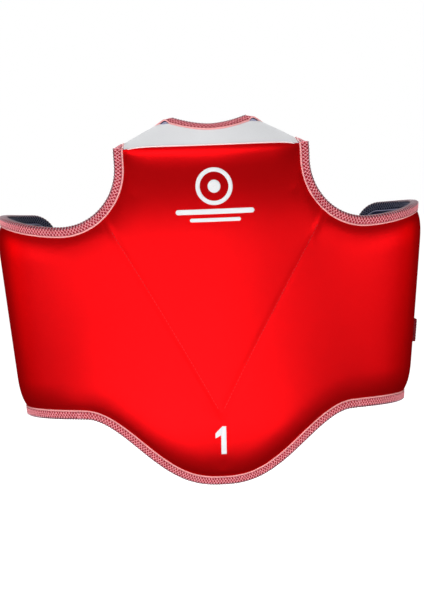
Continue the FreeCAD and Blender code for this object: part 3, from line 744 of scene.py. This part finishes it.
class RimLine:
    """A pad's edge as a line of pattern points that tape and threads follow."""

    def __init__(self, edge, side, step):
        self.edge = resample(edge, step)
        self.count = len(self.edge)
        along = unit(np.gradient(self.edge, axis=0))
        self.into = np.stack([-along[:, 1] * side, along[:, 0] * side], -1)

    def at(self, index, w, t, face):
        """w inward from the edge, t off the pad. face is 1 outside, -1 inside, and between on the rim."""
        base, way = along_line(self.edge, index), along_line(self.into, index)
        inner = base + way * np.maximum(w, 0.0)[..., None]
        thick = half_thick(inner[..., 0], inner[..., 1])
        flat = base + way * np.asarray(w)[..., None]
        return place(flat[..., 0], flat[..., 1], face * (thick + t))


class SheetLine:
    """A sheet's edge in space, in millimetres, with the ways into the sheet and off it at each point."""

    def __init__(self, points, into, normals, step):
        joined = resample(np.concatenate([points, into * 1e-6, normals * 1e-6], 1), step)
        self.points = joined[:, :3]
        self.into, self.normals = (self.soften(joined[:, i : i + 3]) for i in (3, 6))
        self.count = len(self.points)

    def soften(self, ways):
        """Directions that turn over a few millimetres where the sheet folds."""
        ways = unit(ways)
        padded = np.concatenate([np.repeat(ways[:1], 4, 0), ways, np.repeat(ways[-1:], 4, 0)])
        mean = np.stack([np.convolve(padded[:, i], np.hanning(11)[1:-1], "valid") for i in range(3)], -1)
        return unit(mean)

    def at(self, index, w, t, face):
        base, into, normal = (along_line(line, index) for line in (self.points, self.into, self.normals))
        height = np.asarray(face * (YOKE_HALF + t))[..., None]
        return (base + into * np.asarray(w)[..., None] + normal * height) * MM


def tape_profile():
    """Corners of the tape's section, outside first: w inward, t off the pad, face from 1 to -1."""
    top = [(TAPE_WIDE, -0.2), (TAPE_WIDE - 0.2, 0.6)]
    top += [(6.2, TAPE_THICK), (3.8, TAPE_THICK + 0.1), (1.2, TAPE_THICK)]
    outer = [(w, t, 1.0) for w, t in top]
    bends = [math.radians(a) for a in (65.0, 35.0, 0.0, -35.0, -65.0)]
    rim = [(-TAPE_THICK * math.cos(a), TAPE_THICK * 0.6, math.sin(a)) for a in bends]
    inner = [(w, t, -1.0) for w, t in reversed(top)]
    return outer + rim + inner


def tape(name, line, materials, flip):
    """The folded tape itself, with its edges drawn in a little at each stitch."""
    profile = np.array(tape_profile())
    index = np.arange(line.count)
    pull = 0.12 * np.cos(2.0 * math.pi * index / 3.0)
    rows = []
    for w, t, face in profile:
        shift = pull if w < 2.0 else -pull * 0.6
        rows.append(line.at(index, w + shift, np.full(line.count, t), np.full(line.count, face)))
    points = np.stack(rows, 1)
    build = Build()
    half = len(profile) // 2
    uv = np.stack(crossed(index * 1.0, profile[:, 0]), -1)
    build.grid(points[:, : half + 1], 0, uv[:, : half + 1], flip)
    build.grid(points[:, half:], 1, uv[:, half:], flip)
    build.grid(points[:, [-1, 0]], 1, uv[:, [-1, 0]], flip)
    for row, turn in ((0, flip), (-1, not flip)):
        corners = [build.count + i for i in range(len(profile))]
        build.add(points[row], [corners[::-1] if turn else corners], 0)
    obj = build.make(name, materials)
    weld(obj)
    return obj


def circle(sides):
    turns = np.arange(sides) * 2.0 * math.pi / sides
    return np.cos(turns)[:, None], np.sin(turns)[:, None]


def tube(build, points, radius, material, sides=5):
    """A thread along points (n, 3), in metres, with closed ends."""
    along = unit(np.gradient(points, axis=0))
    side = unit(np.cross(along, THREAD_UP))
    other = np.cross(side, along)
    cos, sin = circle(sides)
    ring = side[:, None] * cos + other[:, None] * sin
    build.tube(points[:, None] + ring * radius, material, flip=True)


def dots(build, centers, normals, radius, material, sides=6):
    """Small low domes where a thread goes through the cloth, drawn in near-black as painted shade in the
    stitch holes.
    """
    a = unit(np.cross(normals, DOT_UP))
    b = np.cross(normals, a)
    cos, sin = circle(sides)
    ring = a[:, None] * cos + b[:, None] * sin
    rim = centers[:, None] + ring * radius - normals[:, None] * radius * 0.4
    top = centers + normals * radius * 0.35
    verts = np.concatenate([rim, top[:, None]], 1).reshape(-1, 3)
    faces = []
    for k in range(len(centers)):
        first = build.count + k * (sides + 1)
        faces += [[first + i, first + (i + 1) % sides, first + sides] for i in range(sides)]
        faces.append([first + i for i in reversed(range(sides))])
    build.add(verts, faces, material)


def overlock(name, line, stitches):
    """The seam's threads on both faces: strands slanting both ways, loops round the rim, the edge line."""
    build = Build()
    step = (line.count - 1) / stitches
    low, high = LATTICE
    across = steps(7)
    weave = np.array([-2.2, 1.0, 0.0, -1.0, 0.0, 1.0, -2.2])
    for face, zig, cord, hole in ((1.0, 0, 2, 4), (-1.0, 1, 3, 5)):
        radius = (THREAD_R if face > 0 else THREAD_FINE) * MM
        for k in range(-1, stitches):
            for way, over in ((1.0, 1.0), (-1.0, -1.0)):
                at = (k + 0.25 + STRAND_RUN * (across if way > 0 else 1.0 - across)) * step
                at = np.clip(at, 0.0, line.count - 1.0)
                lift = TAPE_THICK + 0.26 + 0.13 * np.where(weave < -2.0, weave, weave * over)
                tube(build, line.at(at, low + (high - low) * across, lift, face), radius, zig, 4)
        # Painted shade: dark domes at the stitch holes on both edges of the lattice.
        for w in (low - 0.1, high + 0.15):
            at = (np.arange(stitches) + 0.75) * step
            center = line.at(at, np.full(stitches, w), np.full(stitches, TAPE_THICK + 0.1), face)
            above = line.at(at, np.full(stitches, w), np.full(stitches, TAPE_THICK + 1.1), face)
            dots(build, center, unit(above - center), HOLE_R * MM, hole)
        edge_line(build, line, face, cord)
    faces = np.array([1.0, 1.0, 0.7, 0.0, -0.7, -1.0, -1.0])
    w = np.array([1.2, 0.3, -0.6, -0.9, -0.6, 0.3, 1.2])
    t = TAPE_THICK + np.array([0.0, 0.3, 0.0, 0.0, 0.0, 0.3, 0.0])
    for k in range(stitches):
        tube(build, line.at(np.full(7, (k + 0.25) * step), w, t, faces), THREAD_R * 1.1 * MM, 6)
    materials = [THREAD_PINK, THREAD_SILVER, CORD_PINK, CORD_LILAC, PAINTED_HOLE_SHADE, PAINTED_HOLE_SHADE_NAVY, THREAD_GREY]
    return build.make(name, materials)


def edge_line(build, line, face, material):
    """The smooth raised line along the tape's inner edge."""
    rows = []
    for a in np.radians([200.0, 150.0, 115.0, 90.0, 65.0, 30.0, -20.0]):
        w = np.full(line.count, CORD_W + CORD_HALF * math.cos(a))
        rows.append(line.at(np.arange(line.count), w, 0.15 + CORD_HIGH * math.sin(a), face))
    build.tube(np.stack(rows, 1), material)


def line_length(points):
    return float(np.linalg.norm(np.diff(points, axis=0), axis=1).sum())


def taped(name, line, stitches, flip=False):
    """The tape and the threads along a line."""
    band = tape(f"tape_{name}", line, [TAPE_RED, TAPE_NAVY], flip)
    return band, overlock(f"threads_{name}", line, stitches)


def bound_edge(name, edge, side, flip):
    rough = RimLine(edge, side, STITCH / 3.0)
    stitches = int(round((rough.count - 1) / 3.0))
    return taped(name, RimLine(edge, side, line_length(edge) / (stitches * 3.0)), stitches, flip)


def sheet_edge(name, points, into, normals):
    stitches = int(round(line_length(points) / STITCH))
    return taped(name, SheetLine(points, into, normals, line_length(points) / (stitches * 3.0)), stitches)


# ---- yoke

NECK_PART = NECK_X / TIP_X


def ridge(x):
    """The shoulder fold: y and z at distance x from the centre, beyond the neck."""
    part = np.maximum(0.0, (np.abs(x) - NECK_X) / (TIP_X - NECK_X))
    return NECK_Y + (TIP_Y - NECK_Y) * part, NECK_Z + (TIP_SHOULDER_Z - NECK_Z) * part**1.15


def yoke_top(part):
    part = np.asarray(part, float)
    x = TIP_X * part
    rise = np.minimum(part / NECK_PART, 1.0) ** 1.8
    neck_y = NECK_FRONT_Y + (NECK_Y - NECK_FRONT_Y) * rise
    neck_z = NECK_FRONT_Z + (NECK_Z - NECK_FRONT_Z) * rise
    fold_y, fold_z = ridge(x)
    inside = part <= NECK_PART
    return np.stack([x, np.where(inside, neck_y, fold_y), np.where(inside, neck_z, fold_z)], -1)


def front_yoke(part, v):
    """The front of the yoke, from the pad's seam at v 0 up to the neck and the shoulder fold at v 1."""
    s = SHOULDER_S * part
    low = place(s, seam_z(s) - 1.5, 0.0) / MM
    high = yoke_top(part)
    belly = 1.1 * np.sin(math.pi * v)[..., None] * np.array([0.0, -1.0, 0.3])
    return low + (high - low) * v[..., None] + belly


def bezier(points, q):
    order = len(points) - 1
    total = 0.0
    for i, (y, z) in enumerate(points):
        share = math.comb(order, i) * q**i * (1.0 - q) ** (order - i)
        total = total + np.stack([y * share, z * share], -1)
    return total


def neck_hole_x(q):
    strap = NECK_X + (NECK_HOLE_X - NECK_X) * np.sin(math.pi / 2.0 * np.minimum(q / NECK_HOLE_MID, 1.0))
    across = np.clip((q - NECK_HOLE_MID) / (NECK_HOLE_END - NECK_HOLE_MID), 0.0, 1.0)
    return np.where(q < NECK_HOLE_MID, strap, NECK_HOLE_X * np.sqrt(1.0 - across**2))


def yoke_edge_x(q):
    straight = TIP_X + (YOKE_BOTTOM_HALF - TIP_X) * smooth(q)
    return straight + YOKE_BULGE * np.sin(math.pi * np.minimum(1.0, q * 1.6))


def back_yoke(x, q):
    """The yoke's back at x, as far down from the shoulder fold as q says."""
    x, q = np.broadcast_arrays(np.asarray(x, float), np.asarray(q, float))
    fold_inner = NECK_X * (1.0 - q)
    share = np.maximum(0.0, np.abs(x) - fold_inner) / (yoke_edge_x(q) - fold_inner)
    y, z = ridge(NECK_X + (TIP_X - NECK_X) * share)
    low = BELT_Z - BELT_WIDE / 2.0
    yz = bezier([(y, z), (y + 26.0, z - 8.0), (60.0, z - 16.0), (BACK_Y, 236.0), (BACK_Y, low)], q)
    return np.concatenate([x[..., None], yz], -1)


def hole_turns(count):
    a = np.linspace(0.0, math.pi / 2.0, count)
    return NECK_HOLE_MID + (NECK_HOLE_END - NECK_HOLE_MID) * np.sin(a)


STRAP_Q = np.concatenate([np.linspace(0.0, NECK_HOLE_MID, 14), hole_turns(16)[1:]])
PANEL_Q = np.linspace(NECK_HOLE_END, 1.0, 40)


def yoke_grids():
    """Grids of the yoke's right half: neck panel, shoulder panel, strap and back panel, in millimetres."""
    v = steps(10)
    neck_part = np.linspace(0.0, NECK_PART, 14)
    fold_part = np.linspace(NECK_PART, 1.0, 17)
    grids = [front_yoke(*crossed(parts, v)) for parts in (neck_part, fold_part)]
    across = steps(17)
    for q in (STRAP_Q, PANEL_Q):
        q, w = crossed(q, across)
        inner, edge = neck_hole_x(q), yoke_edge_x(q)
        grids.append(back_yoke(inner + (edge - inner) * w, q))
    return grids


def make_yoke():
    build = Build()
    for grid in yoke_grids():
        for side in (1.0, -1.0):
            build.grid(grid * (side, 1.0, 1.0) * MM, 0, flip=side < 0)
    obj = build.make("yoke", [WHITE])
    weld(obj, PAD_WELD)
    solidify(obj, 2.0 * YOKE_HALF, 0.0)
    return obj


YOKE_MIDDLE = np.array([0.0, -5.0, 200.0])


def sheet_line(edge, inner):
    """A tape's line along a sheet's edge. inner are points of the sheet just inside it."""
    along = unit(np.gradient(edge, axis=0))
    into = inner - edge
    into = unit(into - along * (into * along).sum(1)[:, None])
    normals = np.cross(along, into)
    normals *= np.sign((normals * (edge - YOKE_MIDDLE)).sum(1))[:, None]
    return edge, into, normals


def yoke_side_line(side):
    """Up the front yoke's side, over the shoulder and down the back to the belt."""
    v = steps(12)
    front_edge, front_inner = (front_yoke(np.full(12, part), v) for part in (1.0, 0.94))
    q = steps(70)[1:]
    back_edge = back_yoke(yoke_edge_x(q), q)
    back_inner = back_yoke(yoke_edge_x(q) - 5.0, q)
    lines = ((front_edge, back_edge), (front_inner, back_inner))
    return sheet_line(*(np.concatenate(line) * (side, 1.0, 1.0) for line in lines))


def neck_line():
    """Round the neck, from the back centre over the front and back again."""
    part = np.linspace(0.0, NECK_PART, 30)
    front_edge = front_yoke(part, np.ones(30))
    front_inner = front_yoke(part * 0.97, np.full(30, 0.75))
    q = np.concatenate([np.linspace(0.0, NECK_HOLE_MID, 20)[1:], hole_turns(30)[1:]])
    hole = neck_hole_x(q)
    turn = np.clip((q - NECK_HOLE_MID) / (NECK_HOLE_END - NECK_HOLE_MID), 0.0, 1.0)
    back_edge = back_yoke(hole, q)
    back_inner = back_yoke(hole + 5.0 * (1.0 - turn), q + 0.03 * turn)
    halves = [np.concatenate(line) for line in ((front_edge, back_edge), (front_inner, back_inner))]
    return sheet_line(*(np.concatenate([half[::-1], half[1:] * (-1.0, 1.0, 1.0)]) for half in halves))


def blend_fold(obj):
    """Bakes the piece's placement into its mesh."""
    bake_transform(obj)


# ---- belt and patches


def rounded(from_edge, low, reach):
    """A layer's height as a share: low at its edge, rounding up to 1 within reach."""
    return low + (1.0 - low) * np.sqrt(np.clip(from_edge / reach, 0.0, 1.0))


def slab(name, outer, inner, material, uv=None):
    """One closed piece between an outer and an inner grid of points."""
    build = Build()
    build.grid(outer, 0, uv)
    build.grid(inner, 0, uv, flip=True)
    for edge in ((slice(None), 0), (slice(None), -1), (0,), (-1,)):
        build.grid(np.stack([outer[edge], inner[edge]], 1))
    obj = build.make(name, [material])
    weld(obj, PIECE_WELD)
    return obj


def webbing(name, start, end, low_t, high_t):
    """Elastic along the belt line from S start to end, with lengthwise ribs on its outer face."""
    count = max(3, int(abs(end - start) / 2.0) + 1)
    s, w = crossed(np.linspace(start, end, count), np.linspace(-0.5, 0.5, 33) * BELT_WIDE)
    rise = (high_t - low_t) * rounded(BELT_WIDE / 2.0 - np.abs(w), 0.55, 0.8)
    rise = rise + RIB_HIGH * np.cos(2.0 * math.pi * w / RIB_PITCH)
    outer, inner = place(s, BELT_Z + w, low_t + rise), place(s, BELT_Z + w, low_t)
    return slab(name, outer, inner, ELASTIC, np.stack([s, w], -1))


def stitches(name, points, normals, material, long=2.4, gap=0.9, radius=0.27):
    """Lockstitches along a line, in metres: short threads that dive into the cloth at both ends."""
    joined = resample(np.concatenate([points / MM, normals * 1e-6], 1), 0.3)
    at, out = joined[:, :3] * MM, unit(joined[:, 3:])
    per = int(round((long + gap) / 0.3))
    size = int(round(long / 0.3)) + 1
    lift = radius * (1.6 * np.sin(np.linspace(0.0, math.pi, size)) ** 0.5 - 0.9)
    build = Build()
    for first in range(0, len(at) - size, per):
        part = slice(first, first + size)
        tube(build, at[part] + out[part] * lift[:, None] * MM, radius * MM, 0)
    return build.make(name, [material])


def blend_tab(obj, side):
    """Bakes the piece's placement into its mesh. The ends of the peel line, about where the belt comes round
    to the wing, are worked out but not used.
    """
    start = place(side * (TAB_ROOT_S + PEEL_HALF), BELT_Z, BELT_T)
    end = place(side * (TAB_ROOT_S - PEEL_HALF), BELT_Z, BELT_T)
    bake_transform(obj)


def pile_pad(name, side, span, wide, low_t, thick, material, surface=None):
    """A hook or loop pad on the belt line, rounded over at its edges: at T low_t, or sewn on a surface."""
    s, w = crossed(np.linspace(*span, 40) * side, np.linspace(-0.5, 0.5, 26) * wide)
    from_edge = np.minimum(wide / 2.0 - np.abs(w), np.minimum(np.abs(s) - span[0], span[1] - np.abs(s)))
    rise = thick * rounded(from_edge, 0.35, 1.2)
    if surface:
        inner, normals = surface.at_pattern(s, BELT_Z + w)
        outer = inner + normals * rise[..., None] * MM
    else:
        inner, outer = place(s, BELT_Z + w, low_t), place(s, BELT_Z + w, low_t + rise)
    return slab(name, outer, inner, material)


def strap_stitches(name, side, span, half, t, surface=None):
    """A box of stitches on the belt line, at T t or on a surface."""
    (a, b), lo, hi = span, BELT_Z - half, BELT_Z + half
    box = resample(np.array([[a, lo], [b, lo], [b, hi], [a, hi], [a, lo]]), 1.0)
    s, z = side * box[:, 0], box[:, 1]
    if surface:
        points, normals = surface.at_pattern(s, z)
        return stitches(name, points + normals * (t + 0.1) * MM, normals, THREAD_RED, radius=0.24)
    points, above = place(s, z, t + 0.1), place(s, z, t + 1.1)
    return stitches(name, points, above - points, THREAD_DARK, radius=0.24)


def back_patch(name, half, span, thick, material, inset, sewn, cross=False):
    """A piece sewn on the yoke's back with stitches in a box, and in a cross too where cross says so."""

    def point(x, q, high):
        x, q = np.broadcast_arrays(x, q)
        d = 0.004
        along = back_yoke(x, q + d) - back_yoke(x, q - d)
        across = back_yoke(x + 1.0, q) - back_yoke(x - 1.0, q)
        normal = unit(np.cross(across, along))
        normal *= np.sign(normal[..., 1])[..., None]
        return (back_yoke(x, q) + normal * (YOKE_HALF + high)[..., None]) * MM, normal

    x, q = crossed(np.linspace(-half, half, 50), np.linspace(*span, 20))
    long = float(np.linalg.norm(back_yoke(0.0, span[1]) - back_yoke(0.0, span[0])))
    scale = long / (span[1] - span[0])
    down = (q - span[0]) * scale
    from_edge = np.minimum(half - np.abs(x), np.minimum(down, long - down))
    build = Build()
    build.grid(point(x, q, thick * rounded(from_edge, 0.3, 1.0))[0])
    obj = build.make(name, [material])
    solidify(obj, 0.25, -1.0)
    a, b, w = span[0] + inset / scale, span[1] - inset / scale, half - inset
    corners = [(-w, a), (w, a), (w, b), (-w, b), (-w, a)]
    if cross:
        corners += [(w, b), (w, a), (-w, b)]
    box = resample(np.array([(cx, cq * scale) for cx, cq in corners]), 1.0)
    at, normal = point(box[:, 0], box[:, 1] / scale, np.full(len(box), thick + 0.1))
    return obj, stitches(f"{name}_stitches", at, normal, sewn)


# ---- what lies on the front


def seam_piping():
    """The pale line of folded cloth along the yoke seam, turned down at both ends."""
    s = np.linspace(-SHOULDER_S + 8.0, SHOULDER_S - 8.0, 120)
    z = seam_z(s) + 0.3 - 3.0 * (np.abs(s) / (SHOULDER_S - 8.0)) ** 14
    build = Build()
    tube(build, place(s, z, np.full_like(s, SEAM_RIM + 0.1)), 0.75 * MM, 0, 8)
    return build.make("seam_piping", [PIPING])


def printed(surface, name, shapes):
    """Ink a little proud of the pad's cloth. Each shape is a grid of x, z points."""
    build = Build()
    for shape in shapes:
        points, normals = surface.at_front(shape[..., 0], shape[..., 1])
        build.grid(points + normals * PRINT_HIGH * MM, 0)
    obj = build.make(name, [INK])
    weld(obj, 1e-5)
    solidify(obj, PRINT_HIGH + 0.1, -1.0)
    return obj


def polar(center_z, low, high, rings=4, turns=72):
    r, a = crossed(np.linspace(low, high, rings), np.linspace(0.0, 2.0 * math.pi, turns + 1))
    return np.stack([r * np.sin(a), center_z + r * np.cos(a)], -1)


def quad(corners, rows=14, columns=14):
    """A grid over a four-cornered shape: corners go round it."""
    a, b, c, d = (np.array(p, float) for p in corners)
    u, v = crossed(steps(rows), steps(columns))
    u, v = u[..., None], v[..., None]
    return a * (1 - u) * (1 - v) + b * u * (1 - v) + c * u * v + d * (1 - u) * v


def bar(half, z, high):
    """A bar with rounded ends."""
    x = np.linspace(-half, half, 80)
    end = np.clip((half - np.abs(x)) / (high / 2.0), 0.0, 1.0)
    tall = high / 2.0 * np.sqrt(1.0 - (1.0 - end) ** 2 * 0.96)
    v = np.linspace(-1.0, 1.0, 6)
    return np.stack([np.repeat(x[:, None], 6, 1), z + tall[:, None] * v], -1)


def print_mark(surface):
    """A generic scoring target: a ring with a dot, over two bars."""
    shapes = [polar(MARK_Z, MARK_RADIUS - MARK_BAND, MARK_RADIUS), polar(MARK_Z, 0.01, MARK_DOT)]
    shapes += [bar(34.0, MARK_Z - 21.5, 4.4), bar(22.0, MARK_Z - 28.6, 3.2)]
    return printed(surface, "mark_ink", shapes)


def print_number(surface):
    """The size number 1: an upright stroke with a slanted flag."""
    high, stroke, flag, right = NUMBER_HIGH / 2.0, 4.6, 9.6, 3.6
    left, tip = right - stroke, right - flag
    top, fold = NUMBER_Z + high, NUMBER_Z + high - 8.2
    shapes = [
        quad([(left, NUMBER_Z - high), (right, NUMBER_Z - high), (right, fold), (left, fold)], 6, 20),
        quad([(left, fold), (right, fold), (right, top), (right - 3.4, top)], 6, 12),
        quad([(tip, top - 11.0), (left, fold), (right - 3.4, top), (tip, top - 6.4)], 12, 8),
    ]
    return printed(surface, "number_ink", shapes)


# ---- assemble


def blend_side(obj, side):
    """Bakes the piece's placement into its mesh. The ends of the flex line, where the side of the pad meets
    the wing, are worked out but not used.
    """
    start = place(side * (WING_S - FLEX_HALF), FLEX_Z, 0.0)
    end = place(side * (WING_S + FLEX_HALF), FLEX_Z, 0.0)
    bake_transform(obj)


def fixed(body, slot, *pieces):
    """Fixes pieces to a body. The slot is not used."""
    for piece in pieces:
        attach(piece, body)


field = swell_field()
front = front_pad()
swell(front, field)
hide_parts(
    *[f"foam_{part}" for part in ("center", "left", "right")],
    *[f"cover_{face}_{part}" for face in ("outer", "inner") for part in ("center", "main")],
)
fixed("front", "red_cover", front)

band, threads = bound_edge("hem", hem_edge(-SPLIT_S, SPLIT_S), 1.0, False)
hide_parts("binding_hem_front")
fixed("front", "red_tape", band, threads)

yoke = make_yoke()
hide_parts("yoke_front", "yoke_back")
blend_fold(yoke)

neck_band, neck_threads = sheet_edge("neck", *neck_line())
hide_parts("binding_neck_front", "binding_neck_back")
trims = [neck_band, neck_threads]
for name, side in SIDES:
    band, threads = sheet_edge(f"yoke_{name}", *yoke_side_line(side))
    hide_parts(f"binding_shoulder_{name}", f"binding_yoke_{name}")
    trims += [band, threads]
for piece in trims:
    blend_fold(piece)

sides = {}
for name, side in SIDES:
    pad = side_pad(name, side)
    swell(pad, field)
    sides[name] = Surface(pad)
    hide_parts(*[f"{part}_{name}_wing" for part in ("foam", "cover_outer", "cover_inner")])
    blend_side(pad, side)
    runs = [arm_edge(SEAM_Z - 0.4, WING_S), rear_edge(WING_S, 36)[1:-1], hem_edge(WING_S, SPLIT_S, 30)]
    band, threads = bound_edge(f"side_{name}", np.concatenate(runs) * (side, 1.0), -side, side > 0)
    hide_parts(f"binding_{name}_wing", f"binding_armhole_{name}")
    for piece in (band, threads):
        blend_side(piece, side)

# Belt: across the back, and a tab on each wing
middle = webbing("belt_middle", ROOT_S, 2.0 * BACK_S - ROOT_S, BELT_T, ELASTIC_HIGH)
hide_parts("belt")
fixed("back", "elastic", middle)

for name, side in SIDES:
    end, wing = TAB_ENDS[name], sides[name]
    pull_end, pull_high = end + PULL_LONG, ELASTIC_HIGH + 1.0
    hook_span = (pull_end, pull_end + HOOK_LONG)
    strap = webbing(f"strap_{name}", side * end, side * ROOT_S, BELT_T, ELASTIC_HIGH)
    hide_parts(f"belt_tab_{name}")
    hook = pile_pad(f"hook_{name}", side, hook_span, HOOK_WIDE, BELT_T - HOOK_THICK, HOOK_THICK, HOOK)
    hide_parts(f"hook_pad_{name}")
    pull = webbing(f"pull_{name}", side * end, side * pull_end, ELASTIC_HIGH - 0.2, pull_high)
    seam_spans = ((end + 2.0, pull_end - 1.5), (pull_end + 1.5, pull_end + HOOK_LONG - 1.5))
    pull_seam = strap_stitches(f"pull_stitches_{name}", side, seam_spans[0], 8.6, pull_high)
    hook_seam = strap_stitches(f"hook_stitches_{name}", side, seam_spans[1], 7.6, ELASTIC_HIGH)
    for piece in (strap, hook, pull, pull_seam, hook_seam):
        blend_tab(piece, side)
    loop = pile_pad(f"loop_{name}", side, LOOP_PATCH, LOOP_WIDE, 0.0, LOOP_THICK, LOOP, wing)
    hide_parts(f"loop_patch_{name}")
    span = (LOOP_PATCH[0] + 1.8, LOOP_PATCH[1] - 1.8)
    loop_seam = strap_stitches(f"loop_stitches_{name}", side, span, 14.2, LOOP_THICK, wing)
    fixed(f"{name}_wing", "loop_tape", loop, loop_seam)

# Sewn on the yoke's back: the patch that holds the belt, and a plain label
patch = back_patch("belt_patch_cloth", PATCH_HALF, PATCH_SPAN, 0.9, WHITE, 2.2, THREAD_WHITE, cross=True)
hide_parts("belt_patch")
label = back_patch("label_cloth", LABEL_HALF, LABEL_SPAN, 0.5, LABEL, 1.4, THREAD_SILVER)
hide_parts("back_label")
fixed("back", "white_yoke", *patch)
fixed("back", "label", *label)

# Quilt seams, the seam's edge line, and the prints
surface = Surface(front)
for name, side in SIDES:
    s, z = quilt(np.linspace(0.03, 0.9, 160))
    points, normals = surface.at_pattern(side * s, z)
    seam = stitches(f"quilt_stitches_{name}", points, normals, THREAD_RED, radius=0.22)
    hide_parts(f"quilt_thread_{name}")
    fixed("front", "red_thread", seam)

fixed("front", "red_tape", seam_piping())
mark, number = print_mark(surface), print_number(surface)
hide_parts("front_mark")
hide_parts("size_number")
fixed("front", "white_print", mark, number)

# ---- camera, light and floor

AZIMUTH, ELEVATION, ROLL = math.radians(-2.74), math.radians(7.5), math.radians(-2.0)
CAMERA_AWAY, LENS = 1.7, 113.0
FLOOR_HALF, FLOOR_Z = 6.0, -0.32
TARGET = np.array([-0.0021, -0.040, 0.1608])


def make_camera():
    level = math.cos(ELEVATION)
    out = np.array([math.sin(AZIMUTH) * level, -math.cos(AZIMUTH) * level, math.sin(ELEVATION)])
    right = unit(np.cross(-out, (0.0, 0.0, 1.0)))
    up = np.cross(right, -out)
    x = right * math.cos(ROLL) + up * math.sin(ROLL)
    y = -right * math.sin(ROLL) + up * math.cos(ROLL)
    data = bpy.data.cameras.new("camera")
    data.lens = LENS
    data.clip_end = 50.0
    camera = bpy.data.objects.new("camera", data)
    rotation = Matrix((x, y, out)).transposed().to_4x4()
    camera.matrix_world = Matrix.Translation(Vector(TARGET + out * CAMERA_AWAY)) @ rotation
    bpy.context.scene.collection.objects.link(camera)
    bpy.context.scene.camera = camera


def area_light(name, at, target, size, power):
    data = bpy.data.lights.new(name, "AREA")
    data.shape = "RECTANGLE"
    data.size, data.size_y = size
    data.energy = power
    light = bpy.data.objects.new(name, data)
    light.location = at
    light.rotation_euler = (Vector(target) - Vector(at)).to_track_quat("-Z", "Y").to_euler()
    bpy.context.scene.collection.objects.link(light)


def make_world():
    world = bpy.data.worlds.new("studio")
    world.use_nodes = True
    nodes, links = world.node_tree.nodes, world.node_tree.links
    seen, light = nodes["Background"], nodes.new("ShaderNodeBackground")
    seen.inputs["Color"].default_value = (1.0, 1.0, 1.0, 1.0)
    light.inputs["Strength"].default_value = 0.16
    path, mix = nodes.new("ShaderNodeLightPath"), nodes.new("ShaderNodeMixShader")
    links.new(path.outputs["Is Camera Ray"], mix.inputs[0])
    links.new(light.outputs[0], mix.inputs[1])
    links.new(seen.outputs[0], mix.inputs[2])
    links.new(mix.outputs[0], nodes["World Output"].inputs["Surface"])
    bpy.context.scene.world = world


def make_floor():
    inputs = {"Base Color": (0.95, 0.95, 0.95, 1.0), "Roughness": 0.9}
    inputs |= {"Emission Color": (1.0, 1.0, 1.0, 1.0), "Emission Strength": 0.92}
    material = Shader("floor").surface(inputs)
    r, z = FLOOR_HALF, FLOOR_Z
    corners = [(-r, -r, z), (r, -r, z), (r, r, z), (-r, r, z)]
    floor = new_object("floor", corners, [(0, 1, 2, 3)], [material])
    floor.visible_diffuse = floor.visible_glossy = False


make_camera()
make_world()
make_floor()
area_light("key", (-0.2, -1.5, 0.05), (0.0, 0.0, 0.15), (1.4, 0.3), 7.8)
area_light("low", (-0.1, -0.8, -0.28), (0.0, 0.0, 0.05), (1.2, 0.2), 5.5)
area_light("left", (-1.4, -0.85, 0.10), (0.0, 0.0, 0.15), (1.5, 0.3), 8.2)
area_light("right", (1.4, -0.85, 0.10), (0.0, 0.0, 0.15), (1.5, 0.3), 9.0)
area_light("rim_left", (-1.4, 0.25, 0.15), (-0.15, 0.0, 0.15), (0.6, 0.4), 3.0)
area_light("rim_right", (1.4, 0.25, 0.15), (0.15, 0.0, 0.15), (0.6, 0.4), 1.8)
area_light("top", (-0.2, -0.35, 1.6), (0.0, 0.0, 0.2), (0.9, 0.7), 13.0)
area_light("back", (0.2, 1.6, 1.2), (0.0, 0.0, 0.2), (1.2, 0.8), 12.0)
bpy.context.scene.view_settings.view_transform = "Standard"
